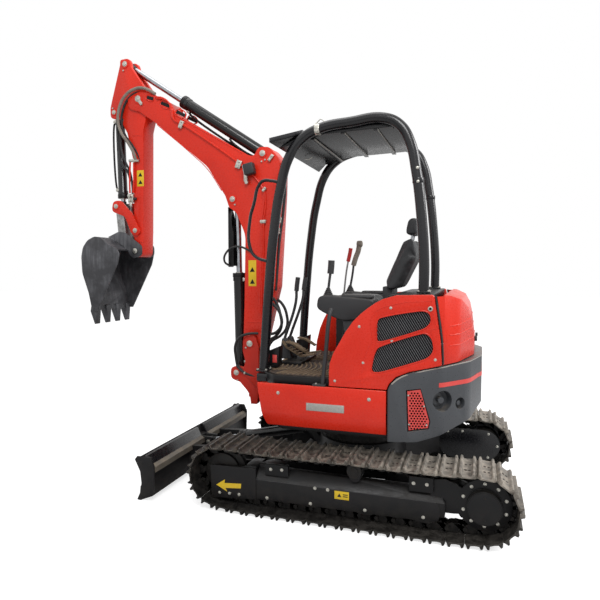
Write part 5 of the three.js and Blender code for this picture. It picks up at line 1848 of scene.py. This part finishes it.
pan = cuboid((-150, -196, 1290), (205, 196, 1372), 24, 4)
seat_pan = cushion(pan, "seat_pan_cushion")
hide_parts("seat_cushion")
back_line = [(-272, 1452), (-232, 1432), (-190, 1440), (-286, 1664), (-346, 1800), (-378, 1800), (-374, 1660)]
back = plate(filleted(back_line, 24), "y", -172, 172, 20, 3)
seat_rest = cushion(back, "seat_back_cushion")
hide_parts("seat_back")
head_line = [(-350, 1816), (-318, 1822), (-336, 1920), (-366, 1934), (-402, 1926), (-398, 1818)]
head = plate(filleted(head_line, 20), "y", -110, 110, 18, 3)
cushion(head, "seat_head_cushion", cap_mm=14)
posts = joined(*[bar_between((-352, y, 1780), (-366, y, 1850), 7, 16) for y in (-60, 60)])
finish_piece(posts, "headrest_posts", "hard_chrome", "upper")
print("seat cushions:", [round(v * 1000) for v in seat_rest.dimensions])

# %% Seams and piping of the cushions, and the pan below
piping_plan = filleted([(-172, -218), (226, -218), (226, 218), (-172, 218)], 40)
piping = tube([(x, y, 1332) for x, y in piping_plan], 5, 1, cyclic=True)
finish_piece(piping, "seat_piping", "hose_rubber", "upper")
base = joined(cuboid((-140, -180, 1258), (190, 180, 1282), 6), cuboid((-236, -120, 1300), (-166, 120, 1460), 8))
finish_piece(base, "seat_base_plate", "moulded_plastic", "upper")
print("seat done")

# %% [markdown]
# ## Bucket
# The frame's bucket has its shell, ears and four teeth already, and its primer is set above. What is left are
# the ends of the two pins that hold it: one through the arm, one through the curved link.

# %% Bucket pins and ear bosses
pivot("link_foot", 1997, 1844, 67, "bucket", 16, 26, "scuffed_primer")
ear_pins = joined(*[round_bar((1855, side * 104, 1728), 22, 10, "y", 28, bevel=2) for side in (1, -1)])
finish_piece(ear_pins, "bucket_ear_pins", "zinc_plate", "bucket")
print("bucket pins done")

# %% [markdown]
# ## Blade
# A curved moldboard with a plate at each end. A hard edge strip runs along its foot, and a folded beam
# stiffens the top of its back. Dust lies on the beam's ledge, and the ledge's light colour is also painted
# highlight on faces that look up.

# %% End plates with their holes, edge strip and top beam
end_line = [
    (1268, 60), (1370, 0), (1400, 3), (1372, 62), (1364, 122), (1373, 200), (1414, 280), (1396, 304),
    (1290, 306), (1262, 246),
]
ends = [plate(end_line, "y", *sorted((side * 769, side * 781)), 2) for side in (1, -1)]
finish_piece(joined(*ends), "blade_end_plates", "black_enamel", "blade")
# Dark discs in the end plates stand for their holes: painted shade.
holes = joined(
    *[round_bar((x, side * 775, z), 13, 14, "y", 24) for side in (1, -1) for x, z in ((1366, 256), (1296, 252))]
)
finish_piece(holes, "blade_end_hole_shades", "painted_shade_and_print_black", "blade")
strip = plate([(1384, 0), (1406, 0), (1386, 44), (1380, 96), (1370, 96), (1372, 50)], "y", -768, 768, 1.5)
finish_piece(strip, "blade_edge_strip", "worn_edge_steel", "blade")
beam = plate(
    [(1345, 312), (1328, 308), (1300, 246), (1272, 232), (1266, 196), (1300, 188), (1345, 240)], "y", 46, 768, 3
)
finish_piece(both_sides(beam), "blade_top_beam", "canopy_black_enamel", "blade")
span = (50, 400, 762)
# The ledge's light colour is dust and painted highlight.
ledge = ribbon([(1271.5, y, 231) for y in span], [(1299.5, y, 246) for y in span], 2)
ledge = joined(ledge, ribbon([(1265, y, 198) for y in span], [(1270.5, y, 230) for y in span], 2))
finish_piece(both_sides(ledge), "blade_ledge_dust_and_highlight", "dust_and_highlight_ledge_enamel", "blade")
pivot("blade_arm", 560, 215, 272, "undercarriage", 19, 30, "black_enamel")
pivot("blade_ram_eye", 1235, 200, 50, "blade", 16, 26, "black_enamel")
pivot("blade_ram_base", 420, 384, 45, "undercarriage", 16, 26, "black_enamel")
blade_hoses = [
    tube([(300, s * 40, 330), (345, s * 70, 395), (392, s * 78, 432), (430, s * 66, 440)], 8, 2)
    for s in (-1, 1)
]
finish_piece(joined(*blade_hoses), "blade_hoses", "hose_rubber", "undercarriage")
print("blade done")

# %% [markdown]
# ## Studio
# A plain white floor takes the machine's shadow. Big soft lamps stand well away, one high on the camera's
# side, one behind the tail and one overhead, and the world fills the rest.

# %% Floor and lamps
deselect()
bpy.ops.mesh.primitive_plane_add(size=60, location=(0, 0, 0))
floor = bpy.context.active_object
floor.name = "studio_floor"
floor_finish = bpy.data.materials.new("white_paper")
floor_finish.use_nodes = True
floor_tree = floor_finish.node_tree
floor_tree.nodes.clear()
paper = add_node(floor_tree, "ShaderNodeBsdfDiffuse", {"Color": linear("#c8c8c8")})
glow = add_node(floor_tree, "ShaderNodeEmission", {"Color": (1, 1, 1, 1), "Strength": 0.72})
both = add_node(floor_tree, "ShaderNodeAddShader", {0: paper.outputs[0], 1: glow.outputs[0]})
ray = add_node(floor_tree, "ShaderNodeLightPath")
seen = add_node(
    floor_tree,
    "ShaderNodeMixShader",
    {0: ray.outputs["Is Camera Ray"], 1: paper.outputs[0], 2: both.outputs[0]},
)
add_node(floor_tree, "ShaderNodeOutputMaterial", {"Surface": seen.outputs[0]})
floor.data.materials.append(floor_finish)
floor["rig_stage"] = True

world = bpy.data.worlds.new("studio")
bpy.context.scene.world = world
world.use_nodes = True
sky = world.node_tree
sky.nodes.clear()
rays = add_node(sky, "ShaderNodeLightPath")
seen_white = add_node(
    sky,
    "ShaderNodeMath",
    {0: rays.outputs["Is Camera Ray"], 1: rays.outputs["Is Glossy Ray"]},
    operation="MAXIMUM",
)
level = add_node(sky, "ShaderNodeMapRange", {"Value": seen_white.outputs[0], "To Min": 0.62, "To Max": 1.0})
air = add_node(sky, "ShaderNodeBackground", {"Color": (1, 1, 1, 1), "Strength": level.outputs["Result"]})
add_node(sky, "ShaderNodeOutputWorld", {"Surface": air.outputs[0]})


def soft_lamp(name, place, target, size, power):
    data = bpy.data.lights.new(name, "AREA")
    data.shape = "SQUARE"
    data.size = size
    data.energy = power
    lamp = bpy.data.objects.new(name, data)
    bpy.context.scene.collection.objects.link(lamp)
    lamp.location = place
    lamp.rotation_mode = "QUATERNION"
    lamp.rotation_quaternion = (Vector(target) - Vector(place)).to_track_quat("-Z", "Y")


soft_lamp("key", (-2.5, 5.0, 6.0), (0, 0, 1.0), 2.5, 230)
soft_lamp("tail", (-6.0, -1.0, 4.5), (0, 0, 1.0), 2.5, 235)
soft_lamp("top", (1.0, 0.0, 7.5), (0, 0, 1.0), 4.0, 110)
bpy.context.scene.view_settings.view_transform = "Standard"
print("studio ready")

# %% Sizes and the last line
low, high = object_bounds()
